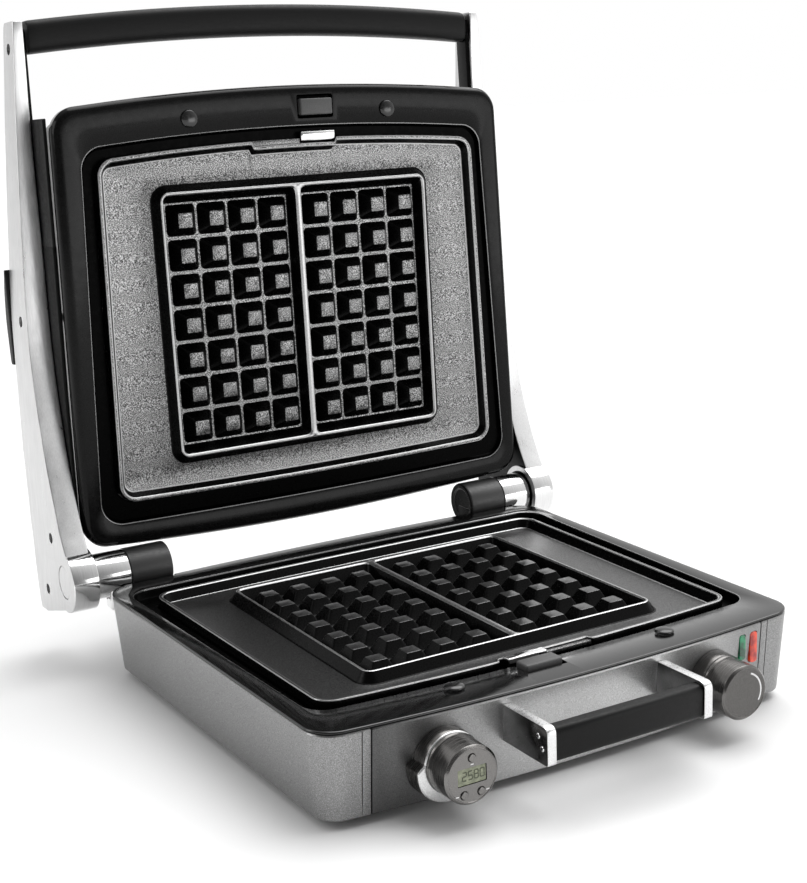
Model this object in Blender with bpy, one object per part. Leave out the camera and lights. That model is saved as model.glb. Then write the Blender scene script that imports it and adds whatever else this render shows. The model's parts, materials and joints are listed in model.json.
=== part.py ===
"""Waffle maker with a base, an opening lid on two long arms, and two lift-out waffle plates.

Metres, +Z up. The origin is on the floor under the middle of the base, +X to the right as the
user faces the front, and the front faces -Y. The lid stands open at rest.
"""

import math

import bmesh
import bpy
from mathutils import Matrix, Vector

GAP = 0.0003  # clearance between touching pieces
WALL = 0.0022  # wall of the housings

# The body stands this far forward, so that the origin is under the middle of the whole outline.
BODY_SHIFT_Y = -0.0256

# Hinge of the lid
HINGE_Y = 0.162
HINGE_Z = 0.062
OPEN_ANGLE = math.radians(92.1)
BARREL_RADIUS = 0.0153
COVER_INNER_X = 0.1193
BARREL_INNER_X = 0.149
BARREL_OUTER_X = 0.1725
ARM_BOSS_X = 0.1905
ARM_BOSS_RADIUS = 0.0205
PIN_RADIUS = 0.0060
PIN_INNER_X = 0.1318
ARM_CAP_X = 0.1865

# Base, heights above the floor
BASE_BOTTOM = 0.0052
BASE_TOP = 0.0550
BASE_TAPER = 0.0045
BEZEL_FACE = 0.0572
BEZEL_FOOT = 0.0440
GUTTER = 0.0512
RIM_TOP = 0.0580

# Lid, heights above the hinge axis when the lid is closed
LID_FACE = 0.0012
LID_BEZEL_TOP = 0.0120
LID_FRAME_TOP = 0.0240
LID_COVER_SHOULDER = 0.0440
LID_COVER_TOP = 0.0560
LID_RIM = -0.0019

# Waffle plates
PLATE_MIDDLE_Y = 0.0035  # base frame; the lid's plate has the same middle when it is closed
PLATE_FLOOR_DEPTH = 0.0065
POCKET_DEPTH = 0.0095
POCKET_BOTTOM_SKIN = 0.0030
PEG_PITCH_X = 0.0225
PEG_PITCH_Y = 0.0233
PEG_COLUMNS = 4
PEG_ROWS = 7
PEG_TOP_BELOW_LIP = 0.0008
PEG_TOP = 0.0096
PEG_FOOT = 0.0205
POCKET_MIDDLE_X = 0.05055
POCKET_FLOOR_HALF = (0.0450, 0.0816)  # half the length of a pocket along X and Y at its floor
POCKET_LIP_HALF = (0.0489, 0.0871)
FIELD_HALF = (0.1009, 0.0886)  # raised field round both pockets, at its top
FIELD_FOOT = 0.0040

# Controls on the front
KNOB_X = 0.0923
KNOB_Z = 0.0300
KNOB_FACE_Y = -0.1782
KNOB_SEAM_Y = -0.1596
KNOB_RADIUS = 0.0156
BOSS_RADIUS = 0.0179
BOSS_LENGTH = 0.0146
FASCIA_HALF_X = 0.1325
LENS_TOP = 0.0505
# Pilot lights: name, middle x, half width, lower end, finish
LENSES = (
    ("lens_green", 0.1173, 0.0025, 0.0348, "green_lens"),
    ("lens_red", 0.1266, 0.0029, 0.0313, "red_lens"),
)
TIMER_BUTTON_RADIUS = 0.0022
TIMER_BUTTON_TRAVEL = 0.0006

# Plate releases
RELEASE_TRAVEL = 0.0022
CATCH_DEPTH = 0.0050
BASE_RELEASE_X = -0.0147
LID_RELEASE_X = 0.0185

# Handles
LOWER_HANDLE_X = 0.0525
LOWER_HANDLE_TOP = 0.0510
LOWER_HANDLE_BOTTOM = 0.0296
LOWER_HANDLE_FRONT = -0.1925
HANDLE_PLATE = 0.0056
GRIP_DISTANCE = 0.3508  # from the hinge to the middle of the grip's ends
GRIP_LIFT = 0.0080

CORNER_STEPS = 4
BOW_STEPS = 6


# ---------------------------------------------------------------- materials

def material(name, color, roughness, metallic=0.0):
    """The shared material of a finish, made the first time it is asked for."""
    found = bpy.data.materials.get(name)
    if found:
        return found
    made = bpy.data.materials.new(name)
    made.use_nodes = True
    shader = made.node_tree.nodes["Principled BSDF"]
    shader.inputs["Base Color"].default_value = (*color, 1.0)
    shader.inputs["Roughness"].default_value = roughness
    shader.inputs["Metallic"].default_value = metallic
    made.diffuse_color = (*color, 1.0)
    return made


FINISHES = {
    "silver_paint": ((0.45, 0.45, 0.46), 0.38, 0.8),
    "aluminium": ((0.80, 0.80, 0.80), 0.32, 1.0),
    "polished_steel": ((0.72, 0.72, 0.72), 0.14, 1.0),
    "black_plastic": ((0.012, 0.012, 0.013), 0.30, 0.0),
    "soft_black": ((0.030, 0.030, 0.031), 0.50, 0.0),
    "non_stick": ((0.035, 0.035, 0.037), 0.35, 0.1),
    "gunmetal": ((0.17, 0.165, 0.155), 0.28, 0.95),
    "rubber": ((0.02, 0.02, 0.02), 0.8, 0.0),
    "chrome": ((0.85, 0.85, 0.85), 0.08, 1.0),
    "lcd": ((0.33, 0.36, 0.26), 0.25, 0.0),
    "green_lens": ((0.01, 0.30, 0.12), 0.15, 0.0),
    "red_lens": ((0.60, 0.03, 0.01), 0.15, 0.0),
    "board": ((0.02, 0.18, 0.07), 0.5, 0.0),
    "pan_metal": ((0.55, 0.55, 0.53), 0.4, 1.0),
    "element_steel": ((0.25, 0.24, 0.22), 0.45, 0.9),
}


# ---------------------------------------------------------------- mesh helpers

def finish(name, mesh_tool, finish_name, parent=None, smooth_angle=35.0):
    """Turns a bmesh into a named object with its material, optionally hung on a parent empty."""
    bmesh.ops.recalc_face_normals(mesh_tool, faces=mesh_tool.faces)
    mesh = bpy.data.meshes.new(name)
    mesh_tool.to_mesh(mesh)
    mesh_tool.free()
    mesh.shade_smooth()
    mesh.set_sharp_from_angle(angle=math.radians(smooth_angle))
    mesh.materials.append(material(finish_name, *FINISHES[finish_name]))
    obj = bpy.data.objects.new(name, mesh)
    bpy.context.scene.collection.objects.link(obj)
    obj.parent = parent
    return obj


def skin(name, rings, finish_name, parent=None, closed=False):
    """One solid through rings of points of equal count. A closed skin joins its last ring to its first."""
    tool = bmesh.new()
    loops = [[tool.verts.new(point) for point in ring] for ring in rings]
    pairs = list(zip(loops, loops[1:]))
    if closed:
        pairs.append((loops[-1], loops[0]))
    for low, high in pairs:
        for index in range(len(low)):
            after = (index + 1) % len(low)
            tool.faces.new((low[index], low[after], high[after], high[index]))
    if not closed:
        tool.faces.new(loops[0])
        tool.faces.new(loops[-1])
    return finish(name, tool, finish_name, parent)


def cube(low, high):
    tool = bmesh.new()
    bmesh.ops.create_cube(tool, size=1.0)
    bmesh.ops.scale(tool, vec=[b - a for a, b in zip(low, high)], verts=tool.verts)
    bmesh.ops.translate(tool, vec=[(a + b) / 2 for a, b in zip(low, high)], verts=tool.verts)
    return tool


def box(name, low, high, finish_name, parent=None, bevel=0.0):
    tool = cube(low, high)
    if bevel:
        bmesh.ops.bevel(tool, geom=list(tool.edges), offset=bevel, segments=2, profile=0.5, affect="EDGES")
    return finish(name, tool, finish_name, parent)


def turned(name, profile, start, axis, finish_name, parent=None, sides=20, closed=False):
    """A turned solid: profile is (radius, distance along the axis) from one end to the other."""
    along = Vector(axis).normalized()
    across = along.orthogonal().normalized()
    beside = along.cross(across)
    rings = []
    for radius, distance in profile:
        ring = []
        for step in range(sides):
            turn = 2 * math.pi * step / sides
            spoke = across * math.cos(turn) + beside * math.sin(turn)
            ring.append(Vector(start) + along * distance + spoke * radius)
        rings.append(ring)
    return skin(name, rings, finish_name, parent, closed)


def tube(name, points, radius, finish_name, parent=None, resolution=2):
    """A bent rod: a curve with a round bevel and filled caps."""
    curve = bpy.data.curves.new(name, "CURVE")
    curve.dimensions = "3D"
    curve.bevel_depth = radius
    curve.bevel_resolution = resolution
    curve.use_fill_caps = True
    spline = curve.splines.new("POLY")
    spline.points.add(len(points) - 1)
    for place, point in zip(spline.points, points):
        place.co = (*point, 1.0)
    curve.materials.append(material(finish_name, *FINISHES[finish_name]))
    obj = bpy.data.objects.new(name, curve)
    bpy.context.scene.collection.objects.link(obj)
    obj.parent = parent
    return obj


def cut(target, cutter):
    """Cuts a hidden solid out of a piece with an exact Boolean."""
    cutter.hide_render = True
    cutter.display_type = "WIRE"
    modifier = target.modifiers.new("cut_" + cutter.name, "BOOLEAN")
    modifier.operation = "DIFFERENCE"
    modifier.solver = "EXACT"
    modifier.object = cutter


def join(target, other):
    """Joins a hidden solid to a piece with an exact Boolean."""
    other.hide_render = True
    other.display_type = "WIRE"
    modifier = target.modifiers.new("join_" + other.name, "BOOLEAN")
    modifier.operation = "UNION"
    modifier.solver = "EXACT"
    modifier.object = other


# ---------------------------------------------------------------- outlines

class Outline:
    """A plan outline: straight slanting sides, bowed back and front edges and round corners."""

    def __init__(self, half_back, half_front, back, front, bow_back, bow_front, radius):
        self.half_back = half_back
        self.half_front = half_front
        self.back = back
        self.front = front
        self.bow_back = bow_back
        self.bow_front = bow_front
        self.radius = radius

    def inset(self, distance):
        return Outline(
            self.half_back - distance, self.half_front - distance,
            self.back - distance, self.front + distance,
            self.bow_back, self.bow_front, max(self.radius - distance, 0.0008),
        )

    def front_at(self, x):
        return self.front - self.bow_front * (1 - (x / self.half_front) ** 2)

    def back_at(self, x):
        return self.back + self.bow_back * (1 - (x / self.half_back) ** 2)

    def points(self):
        """Plan points, counter-clockwise from the front left corner."""
        corners = [
            (Vector((-self.half_front, self.front)), "front"),
            (Vector((self.half_front, self.front)), "front"),
            (Vector((self.half_back, self.back)), "back"),
            (Vector((-self.half_back, self.back)), "back"),
        ]
        slope_front = 2 * self.bow_front / self.half_front
        slope_back = 2 * self.bow_back / self.half_back
        side = Vector((self.half_back - self.half_front, self.back - self.front)).normalized()
        arriving = [Vector((-side.x, side.y)) * -1, Vector((1, slope_front)), side, Vector((-1, -slope_back))]
        leaving = [Vector((1, -slope_front)), side, Vector((-1, slope_back)), Vector((-side.x, side.y)) * -1]
        made = []
        for index, (corner, edge) in enumerate(corners):
            made += fillet(corner, arriving[index].normalized(), leaving[index].normalized(), self.radius)
            if index == 0:
                made += self.bow(made[-1].x, self.front_at)
            if index == 2:
                made += self.bow(made[-1].x, self.back_at)
        return made

    def bow(self, start, height_at):
        """Points between the round corners of a bowed edge, from start to its mirror image."""
        reach = -start
        places = [start + (reach - start) * step / BOW_STEPS for step in range(1, BOW_STEPS)]
        return [Vector((x, height_at(x))) for x in places]

    def ring(self, z):
        return [Vector((point.x, point.y, z)) for point in self.points()]


def fillet(corner, arriving, leaving, radius):
    """Points of a round corner between two straight directions."""
    turn = arriving.angle(leaving)
    reach = radius * math.tan(turn / 2)
    start = corner - arriving * reach
    inward = Vector((-arriving.y, arriving.x))
    middle = start + inward * radius
    spoke = start - middle
    made = []
    for step in range(CORNER_STEPS + 1):
        angle = turn * step / CORNER_STEPS
        made.append(middle + Matrix.Rotation(angle, 2) @ spoke)
    return made


BASE = Outline(0.1695, 0.1635, 0.1474, -0.1448, 0.0064, 0.0092, 0.0190)
OPENING = Outline(0.1600, 0.1505, HINGE_Y - 0.0323, -0.1160, 0.0020, 0.0075, 0.0150)
RIM = Outline(0.1470, 0.1420, HINGE_Y - 0.0462, -0.1040, 0.0022, 0.0064, 0.0120)
LID = Outline(0.1730, 0.1676, HINGE_Y - 0.0184, -0.1418, 0.0064, 0.0092, 0.0170)
FIELD = Outline(FIELD_HALF[0], FIELD_HALF[0], FIELD_HALF[1], -FIELD_HALF[1], 0.0, 0.0, 0.0034)


def shifted(outline, distance):
    """The same outline moved along Y."""
    return Outline(
        outline.half_back, outline.half_front, outline.back + distance, outline.front + distance,
        outline.bow_back, outline.bow_front, outline.radius,
    )


# Lid pieces are modelled closed, in the frame of the hinge axis.
LID_EDGE = shifted(LID, -HINGE_Y)
LID_OPENING = shifted(OPENING, -HINGE_Y)


# ---------------------------------------------------------------- base housing

def barrel_rooms(target):
    """Makes room for the hinge barrels in a piece of the housing."""
    radius = BARREL_RADIUS + 0.0008
    for side in (-1, 1):
        start = (side * (COVER_INNER_X - 0.0010), HINGE_Y, HINGE_Z)
        name = "cut_barrel_%s_%d" % (target.name, side)
        cut(target, turned(name, [(radius, 0.0), (radius, 0.0800)], start, (side, 0, 0), "black_plastic"))


def base_housing():
    """Silver shell, black top frame, underside and feet."""
    taper = BASE.inset(BASE_TAPER)
    shell = skin(
        "base_shell",
        [
            taper.ring(BASE_BOTTOM), taper.inset(-0.0010).ring(BASE_BOTTOM + 0.0015),
            BASE.inset(0.0006).ring(BASE_TOP - 0.0012), BASE.inset(0.0012).ring(BASE_TOP),
            BASE.inset(0.0012 + WALL).ring(BASE_TOP), taper.inset(WALL).ring(BASE_BOTTOM),
        ],
        "silver_paint", closed=True,
    )
    gap = FASCIA_HALF_X + GAP + 0.0004
    cut(shell, box("cut_fascia", (-gap, -0.20, 0.0), (gap, -0.13, 0.10), "black_plastic"))
    barrel_rooms(shell)

    bezel = skin(
        "base_bezel",
        [
            BASE.inset(0.0050).ring(BEZEL_FOOT), BASE.inset(0.0040).ring(BASE_TOP + GAP),
            BASE.inset(0.0008).ring(BASE_TOP + GAP), BASE.inset(0.0002).ring(BASE_TOP + 0.0012),
            BASE.inset(0.0018).ring(BEZEL_FACE),
            OPENING.inset(-0.0006).ring(BEZEL_FACE), OPENING.ring(BEZEL_FACE - 0.0008),
            OPENING.inset(0.0010).ring(GUTTER), RIM.inset(-0.0010).ring(GUTTER),
            RIM.inset(-0.0010).ring(BEZEL_FOOT),
        ],
        "black_plastic", closed=True,
    )
    barrel_rooms(bezel)
    cover = taper.inset(WALL + GAP)
    skin(
        "bottom_cover",
        [cover.ring(BASE_BOTTOM + 0.0003), cover.ring(BASE_BOTTOM + 0.0023)],
        "soft_black",
    )
    for front in (True, False):
        for side in (-1, 1):
            name = "foot_%s_%s" % ("front" if front else "rear", "left" if side < 0 else "right")
            y = -0.118 if front else 0.122
            turned(
                name, [(0.0080, 0.0), (0.0090, 0.0010), (0.0095, BASE_BOTTOM)],
                (side * 0.138, y, 0.0), (0, 0, 1), "rubber", sides=20,
            )
    return shell, bezel


def fascia():
    """The front panel between the two grooves, with its openings for shafts and lamps."""
    rings = []
    levels = ((BASE_TAPER, BASE_BOTTOM), (0.0006, BASE_TOP - 0.0012), (0.0012, BASE_TOP))
    for inset, z in levels:
        outline = BASE.inset(inset)
        places = [-FASCIA_HALF_X + 2 * FASCIA_HALF_X * step / 16 for step in range(17)]
        outer = [Vector((x, outline.front_at(x), z)) for x in places]
        inner = [Vector((x, outline.front_at(x) + WALL, z)) for x in reversed(places)]
        rings.append(outer + inner)
    panel = skin("front_fascia", rings, "silver_paint")
    for side in (-1, 1):
        start = (side * KNOB_X, -0.165, KNOB_Z)
        profile = [(0.0060, 0.0), (0.0060, 0.03)]
        cut(panel, turned("cut_shaft_%d" % side, profile, start, (0, 1, 0), "black_plastic", sides=18))
    for name, x, half, low, _ in LENSES:
        slot_low = (x - half - GAP, -0.17, low - GAP)
        slot_high = (x + half + GAP, -0.13, LENS_TOP + GAP)
        cut(panel, box("cut_" + name, slot_low, slot_high, "black_plastic"))


def front_block(name):
    """A hidden block up to the panel's outer face, which shapes what stands against the panel."""
    rings = []
    low = BASE.inset(BASE_TAPER)
    high = BASE.inset(0.0006)
    for outline, z in ((low, 0.0), (low, BASE_BOTTOM), (high, BASE_TOP - 0.0012), (high, 0.07)):
        places = [-0.150 + 0.300 * step / 24 for step in range(25)]
        outer = [Vector((x, outline.front_at(x) - GAP, z)) for x in places]
        inner = [Vector((x, -0.10, z)) for x in reversed(places)]
        rings.append(outer + inner)
    block = skin(name, rings, "black_plastic")
    block.hide_render = True
    block.display_type = "WIRE"


def lamps():
    """Two tall pilot light lenses that fill their slots, with their board behind."""
    for name, x, half, low, finish_name in LENSES:
        front = BASE.inset(BASE_TAPER * 0.4).front_at(x)
        lens_low = (x - half, front - 0.0012, low)
        box(name, lens_low, (x + half, front + 0.0016, LENS_TOP), finish_name, bevel=0.0005)
    box("lamp_board", (0.1120, -0.1420, 0.0270), (0.1320, -0.1405, 0.0430), "board")


# ---------------------------------------------------------------- controls

def knob_profile():
    """Outer profile of the timer's body and of the thermostat's knob: (radius, distance from the seam)."""
    face = KNOB_SEAM_Y - KNOB_FACE_Y
    return [
        (0.0165, GAP), (0.0165, 0.0010), (KNOB_RADIUS + 0.0008, 0.0020), (KNOB_RADIUS + 0.0004, face - 0.0012),
        (KNOB_RADIUS - 0.0008, face), (KNOB_RADIUS - 0.0016, face),
    ]


def timer():
    """Fixed timer housing on the left: a boss, a body with a window, and three push buttons."""
    x = -KNOB_X
    boss = turned(
        "timer_boss",
        [(0.0198, 0.0), (0.0192, 0.0090), (BOSS_RADIUS, BOSS_LENGTH), (0.0045, BOSS_LENGTH), (0.0045, 0.0)],
        (x, KNOB_SEAM_Y + BOSS_LENGTH, KNOB_Z), (0, -1, 0), "gunmetal", closed=True,
    )
    cut(boss, bpy.data.objects["cut_front"])
    body = turned(
        "timer_body", knob_profile(), (x, KNOB_SEAM_Y, KNOB_Z), (0, -1, 0), "gunmetal", sides=28,
    )
    window_low = (x - 0.0088, KNOB_FACE_Y - 0.001, KNOB_Z - 0.0048)
    window_high = (x + 0.0088, KNOB_FACE_Y + 0.0030, KNOB_Z + 0.0048)
    cut(body, box("cut_window", window_low, window_high, "black_plastic"))
    box(
        "timer_window",
        (window_low[0] + GAP, KNOB_FACE_Y + 0.0008, window_low[2] + GAP),
        (window_high[0] - GAP, window_high[1] - GAP, window_high[2] - GAP), "lcd",
    )
    for name, dx, dz in (("top", 0.0, 0.0098), ("left", -0.0052, -0.0098), ("right", 0.0052, -0.0098)):
        start = (x + dx, KNOB_FACE_Y, KNOB_Z + dz)
        well = TIMER_BUTTON_RADIUS + GAP
        profile = [(well, -0.0030), (well, 0.0010)]
        cut(body, turned("cut_button_" + name, profile, start, (0, -1, 0), "black_plastic", sides=16))
        profile = [
            (TIMER_BUTTON_RADIUS, -0.0030 + TIMER_BUTTON_TRAVEL + GAP), (TIMER_BUTTON_RADIUS, 0.0003),
            (TIMER_BUTTON_RADIUS - 0.0004, TIMER_BUTTON_TRAVEL),
        ]
        turned("timer_button_" + name, profile, start, (0, -1, 0), "gunmetal", sides=16)
    box("timer_board", (x - 0.0160, -0.1420, KNOB_Z - 0.0160), (x + 0.0160, -0.1404, KNOB_Z + 0.0130), "board")


def thermostat():
    """Turning knob on the right on a fixed boss, with its regulator behind the panel."""
    x = KNOB_X
    boss = turned(
        "thermostat_boss",
        [(0.0192, 0.0), (0.0190, 0.0090), (BOSS_RADIUS, BOSS_LENGTH), (0.0052, BOSS_LENGTH), (0.0052, 0.0)],
        (x, KNOB_SEAM_Y + BOSS_LENGTH, KNOB_Z), (0, -1, 0), "gunmetal", closed=True,
    )
    cut(boss, bpy.data.objects["cut_front"])
    shaft = [(0.0030, -0.0185), (0.0030, GAP)]
    knob = turned("thermostat_knob", shaft + knob_profile(), (0, 0, 0), (0, -1, 0), "gunmetal", sides=28)
    knob.location = (x, KNOB_SEAM_Y, KNOB_Z)
    box(
        "thermostat_body", (x - 0.0140, -0.1390, KNOB_Z - 0.0140), (x + 0.0140, -0.1220, KNOB_Z + 0.0110),
        "pan_metal", bevel=0.0008,
    )


# ---------------------------------------------------------------- lower handle

def lower_handle():
    for side in (-1, 1):
        name = "left" if side < 0 else "right"
        rear = BASE.front_at(LOWER_HANDLE_X) + 0.0060
        low = (side * LOWER_HANDLE_X - HANDLE_PLATE / 2, LOWER_HANDLE_FRONT, LOWER_HANDLE_BOTTOM)
        high = (side * LOWER_HANDLE_X + HANDLE_PLATE / 2, rear, LOWER_HANDLE_TOP)
        tool = cube(low, high)
        front = [vertex for vertex in tool.verts if vertex.co.y < low[1] + GAP]
        level = [
            edge for edge in tool.edges
            if all(v in front for v in edge.verts) and abs(edge.verts[0].co.z - edge.verts[1].co.z) < GAP
        ]
        bmesh.ops.bevel(tool, geom=level, offset=0.0040, segments=4, profile=0.5, affect="EDGES")
        plate = finish("handle_plate_" + name, tool, "aluminium")
        cut(plate, bpy.data.objects["cut_front"])
    inner = LOWER_HANDLE_X - HANDLE_PLATE / 2 - GAP
    box(
        "handle_bar", (-inner, LOWER_HANDLE_FRONT + 0.0010, LOWER_HANDLE_BOTTOM + 0.0008),
        (inner, LOWER_HANDLE_FRONT + 0.0115, LOWER_HANDLE_TOP - 0.0018), "soft_black", bevel=0.0022,
    )


# ---------------------------------------------------------------- waffle plate

def peg_stations(count, pitch, half):
    """Places along one side of a pocket: its ends, and both feet of each peg."""
    places = [-half]
    for index in range(count):
        middle = (index - (count - 1) / 2) * pitch
        places += [middle - PEG_FOOT / 2, middle + PEG_FOOT / 2]
    return places + [half]


def peg_faces(tool, foot):
    """One tapered peg on four vertices of the pocket's floor."""
    middle = sum((vertex.co for vertex in foot), Vector()) / 4
    half = PEG_TOP / 2
    top = []
    for sign_x, sign_y in ((-1, -1), (1, -1), (1, 1), (-1, 1)):
        top.append(tool.verts.new((middle.x + sign_x * half, middle.y + sign_y * half, -PEG_TOP_BELOW_LIP)))
    tool.faces.new(top)
    for k in range(4):
        after = (k + 1) % 4
        tool.faces.new((foot[k], foot[after], top[after], top[k]))


def pocket_cutter(name, middle_x, parent):
    """The hollow of one pocket: drafted walls, with a peg-shaped hollow for each peg."""
    xs = peg_stations(PEG_COLUMNS, PEG_PITCH_X, POCKET_FLOOR_HALF[0])
    ys = peg_stations(PEG_ROWS, PEG_PITCH_Y, POCKET_FLOOR_HALF[1])
    last_x = len(xs) - 1
    last_y = len(ys) - 1
    tool = bmesh.new()
    grid = {}
    for i, x in enumerate(xs):
        for j, y in enumerate(ys):
            grid[i, j] = tool.verts.new((middle_x + x, y, -POCKET_DEPTH))
    for i in range(last_x):
        for j in range(last_y):
            foot = [grid[i, j], grid[i + 1, j], grid[i + 1, j + 1], grid[i, j + 1]]
            if i % 2 and j % 2:
                peg_faces(tool, foot)
            else:
                tool.faces.new(foot)
    border = [(i, 0) for i in range(last_x)] + [(last_x, j) for j in range(last_y)]
    border += [(i, last_y) for i in range(last_x, 0, -1)] + [(0, j) for j in range(last_y, 0, -1)]
    above = 0.0010  # the cutter's top, past the lip
    rise = (POCKET_DEPTH + above) / POCKET_DEPTH
    top_x, top_y = (
        1 + (lip / floor - 1) * rise for lip, floor in zip(POCKET_LIP_HALF, POCKET_FLOOR_HALF)
    )
    upper = [tool.verts.new((middle_x + xs[i] * top_x, ys[j] * top_y, above)) for i, j in border]
    for k, place in enumerate(border):
        after = (k + 1) % len(border)
        tool.faces.new((grid[place], grid[border[after]], upper[after], upper[k]))
    tool.faces.new(upper)
    return finish(name, tool, "black_plastic", parent)


def waffle_plate(name, parent):
    """A cast plate facing +Z with its rim at z = 0: a shallow dish with a raised field of two pockets."""
    rim = shifted(RIM, -PLATE_MIDDLE_Y)
    floor = -PLATE_FLOOR_DEPTH
    under = floor - 0.0040
    block = -POCKET_DEPTH - POCKET_BOTTOM_SKIN
    plate = skin(
        name,
        [
            FIELD.inset(-0.0010).ring(block), FIELD.inset(-FIELD_FOOT + 0.0010).ring(under),
            rim.inset(0.0010).ring(under), rim.ring(under + 0.0010),
            rim.ring(-0.0008), rim.inset(0.0008).ring(0.0),
            rim.inset(0.0030).ring(0.0), rim.inset(0.0042).ring(-0.0010), rim.inset(0.0060).ring(floor),
            FIELD.inset(-FIELD_FOOT).ring(floor), FIELD.inset(-0.0005).ring(-0.0006), FIELD.ring(0.0),
        ],
        "non_stick", parent,
    )
    for side in (-1, 1):
        cut(plate, pocket_cutter("cut_%s_pocket_%d" % (name, side), side * POCKET_MIDDLE_X, parent))


# ---------------------------------------------------------------- plate releases and bumpers

def release(prefix, middle_x, button_y, catch_y, face, gutter, up, bezel, parent):
    """A push button in a pocket of the bezel that draws a catch back from the plate's rim."""
    half = 0.0122
    pocket = sorted((face - up * 0.0042, face + up * 0.0060))
    cutter = box(
        "cut_" + prefix + "_pocket",
        (middle_x - half - 0.0020, button_y - RELEASE_TRAVEL - 0.0008, pocket[0]),
        (middle_x + half + 0.0020, button_y + 0.0135, pocket[1]), "black_plastic", parent,
    )
    cut(bezel, cutter)
    heights = sorted((face - up * 0.0036, face + up * 0.0028))
    box(
        prefix + "_release_button", (middle_x - half, button_y, heights[0]),
        (middle_x + half, button_y + 0.0110, heights[1]), "soft_black", parent, bevel=0.0008,
    )
    heights = sorted((gutter + up * 0.0008, face + up * 0.0020))
    box(
        prefix + "_catch", (middle_x - 0.0130, catch_y - CATCH_DEPTH, heights[0]),
        (middle_x + 0.0130, catch_y, heights[1]),
        "chrome", parent, bevel=0.0006,
    )


def bumpers(hinge):
    """Domed rest buttons: two on the base, and two on the lid that stand off a little when it shuts."""
    dome = [(0.0050, GAP), (0.0050, 0.0010), (0.0042, 0.0020), (0.0025, 0.0025)]
    for side in (-1, 1):
        name = "left" if side < 0 else "right"
        turned("bumper_lid_" + name, dome, (side * 0.0750, -0.2940, LID_FACE), (0, 0, -1), "rubber", hinge)
        turned("bumper_base_" + name, dome, (side * 0.0725, -0.1307, BEZEL_FACE), (0, 0, 1), "rubber")


# ---------------------------------------------------------------- hinge

def hinge_fixed():
    """Silver barrels with their feet on the base, black covers beside them, and the hinge pins."""
    bore_radius = PIN_RADIUS + GAP
    bore_profile = [(bore_radius, 0.0), (bore_radius, 0.0500)]
    width = BARREL_OUTER_X - BARREL_INNER_X - GAP
    length = BARREL_INNER_X - COVER_INNER_X
    for side in (-1, 1):
        name = "left" if side < 0 else "right"
        axis = (side, 0, 0)
        barrel = turned(
            "hinge_bracket_" + name,
            [(BARREL_RADIUS, 0.0), (BARREL_RADIUS, width - 0.0008), (BARREL_RADIUS - 0.0008, width),
             (bore_radius, width), (bore_radius, 0.0)],
            (side * (BARREL_INNER_X + GAP), HINGE_Y, HINGE_Z), axis, "polished_steel", closed=True, sides=28,
        )
        foot = ((0.1500, 0.1487, 0.0180), (0.1640, 0.1610, 0.0560))
        join(barrel, sided_box("add_foot_" + name, side, *foot, 0.0020))
        start = (side * (BARREL_INNER_X - 0.0010), HINGE_Y, HINGE_Z)
        cut(barrel, turned("cut_bore_" + name, bore_profile, start, axis, "polished_steel"))
        cover = turned(
            "hinge_cover_" + name,
            [(BARREL_RADIUS - 0.0016, 0.0), (BARREL_RADIUS, 0.0016), (BARREL_RADIUS, length - GAP)],
            (side * COVER_INNER_X, HINGE_Y, HINGE_Z), axis, "black_plastic", sides=28,
        )
        web = ((0.1200, 0.1530, 0.0360), (0.1485, 0.1680, 0.0600))
        join(cover, sided_box("add_web_" + name, side, *web, 0.0015))
        start = (side * (PIN_INNER_X - 0.0005), HINGE_Y, HINGE_Z)
        cut(cover, turned("cut_cover_bore_" + name, bore_profile, start, axis, "black_plastic"))
        turned(
            "hinge_pin_" + name, [(PIN_RADIUS, 0.0), (PIN_RADIUS, ARM_CAP_X - GAP - PIN_INNER_X)],
            (side * PIN_INNER_X, HINGE_Y, HINGE_Z), axis, "chrome", sides=18,
        )


def sided_box(name, side, low, high, bevel):
    """A box on the left or right, from corners given for the right side."""
    low_x, high_x = sorted((side * low[0], side * high[0]))
    return box(name, (low_x, *low[1:]), (high_x, *high[1:]), "polished_steel", bevel=bevel)


# ---------------------------------------------------------------- lid

# Stations down each arm: distance from the hinge, outer x, inner x, front edge, back edge.
# The edges are distances in front of the hinge plane when the lid stands open.
ARM_STATIONS = [
    (0.3610, 0.1752, 0.1698, -0.0360, -0.0520),
    (0.3580, 0.1764, 0.1698, -0.0340, -0.0550),
    (0.3300, 0.1781, 0.1700, -0.0352, -0.0580),
    (0.3000, 0.1800, 0.1704, -0.0362, -0.0610),
    (0.2400, 0.1842, 0.1714, -0.0342, -0.0634),
    (0.1800, 0.1878, 0.1724, -0.0320, -0.0650),
    (0.1500, 0.1889, 0.1730, -0.0302, -0.0646),
    (0.1200, 0.1896, 0.1736, -0.0256, -0.0640),
    (0.0800, 0.1900, 0.1742, -0.0170, -0.0650),
    (0.0500, 0.1902, 0.1744, -0.0070, -0.0640),
    (0.0330, 0.1905, 0.1746, 0.0000, -0.0630),
    (0.0180, 0.1905, 0.1746, 0.0080, -0.0620),
    (0.0000, 0.1905, 0.1746, 0.0150, -0.0616),
    (-0.0120, 0.1905, 0.1746, 0.0150, -0.0606),
    (-0.0180, 0.1905, 0.1746, 0.0040, -0.0600),
    (-0.0250, 0.1905, 0.1746, -0.0230, -0.0590),
    (-0.0300, 0.1905, 0.1746, -0.0430, -0.0570),
]
ARM_CHAMFER = 0.0010
ARM_CAP_RADIUS = 0.0110
# Screws of the arms: distance from the hinge, distance in front of its plane, outer x.
ARM_SCREWS = ((0.3440, -0.0450, 0.1770), (0.0262, -0.0200, 0.1905), (-0.0130, -0.0380, 0.1905))


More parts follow.
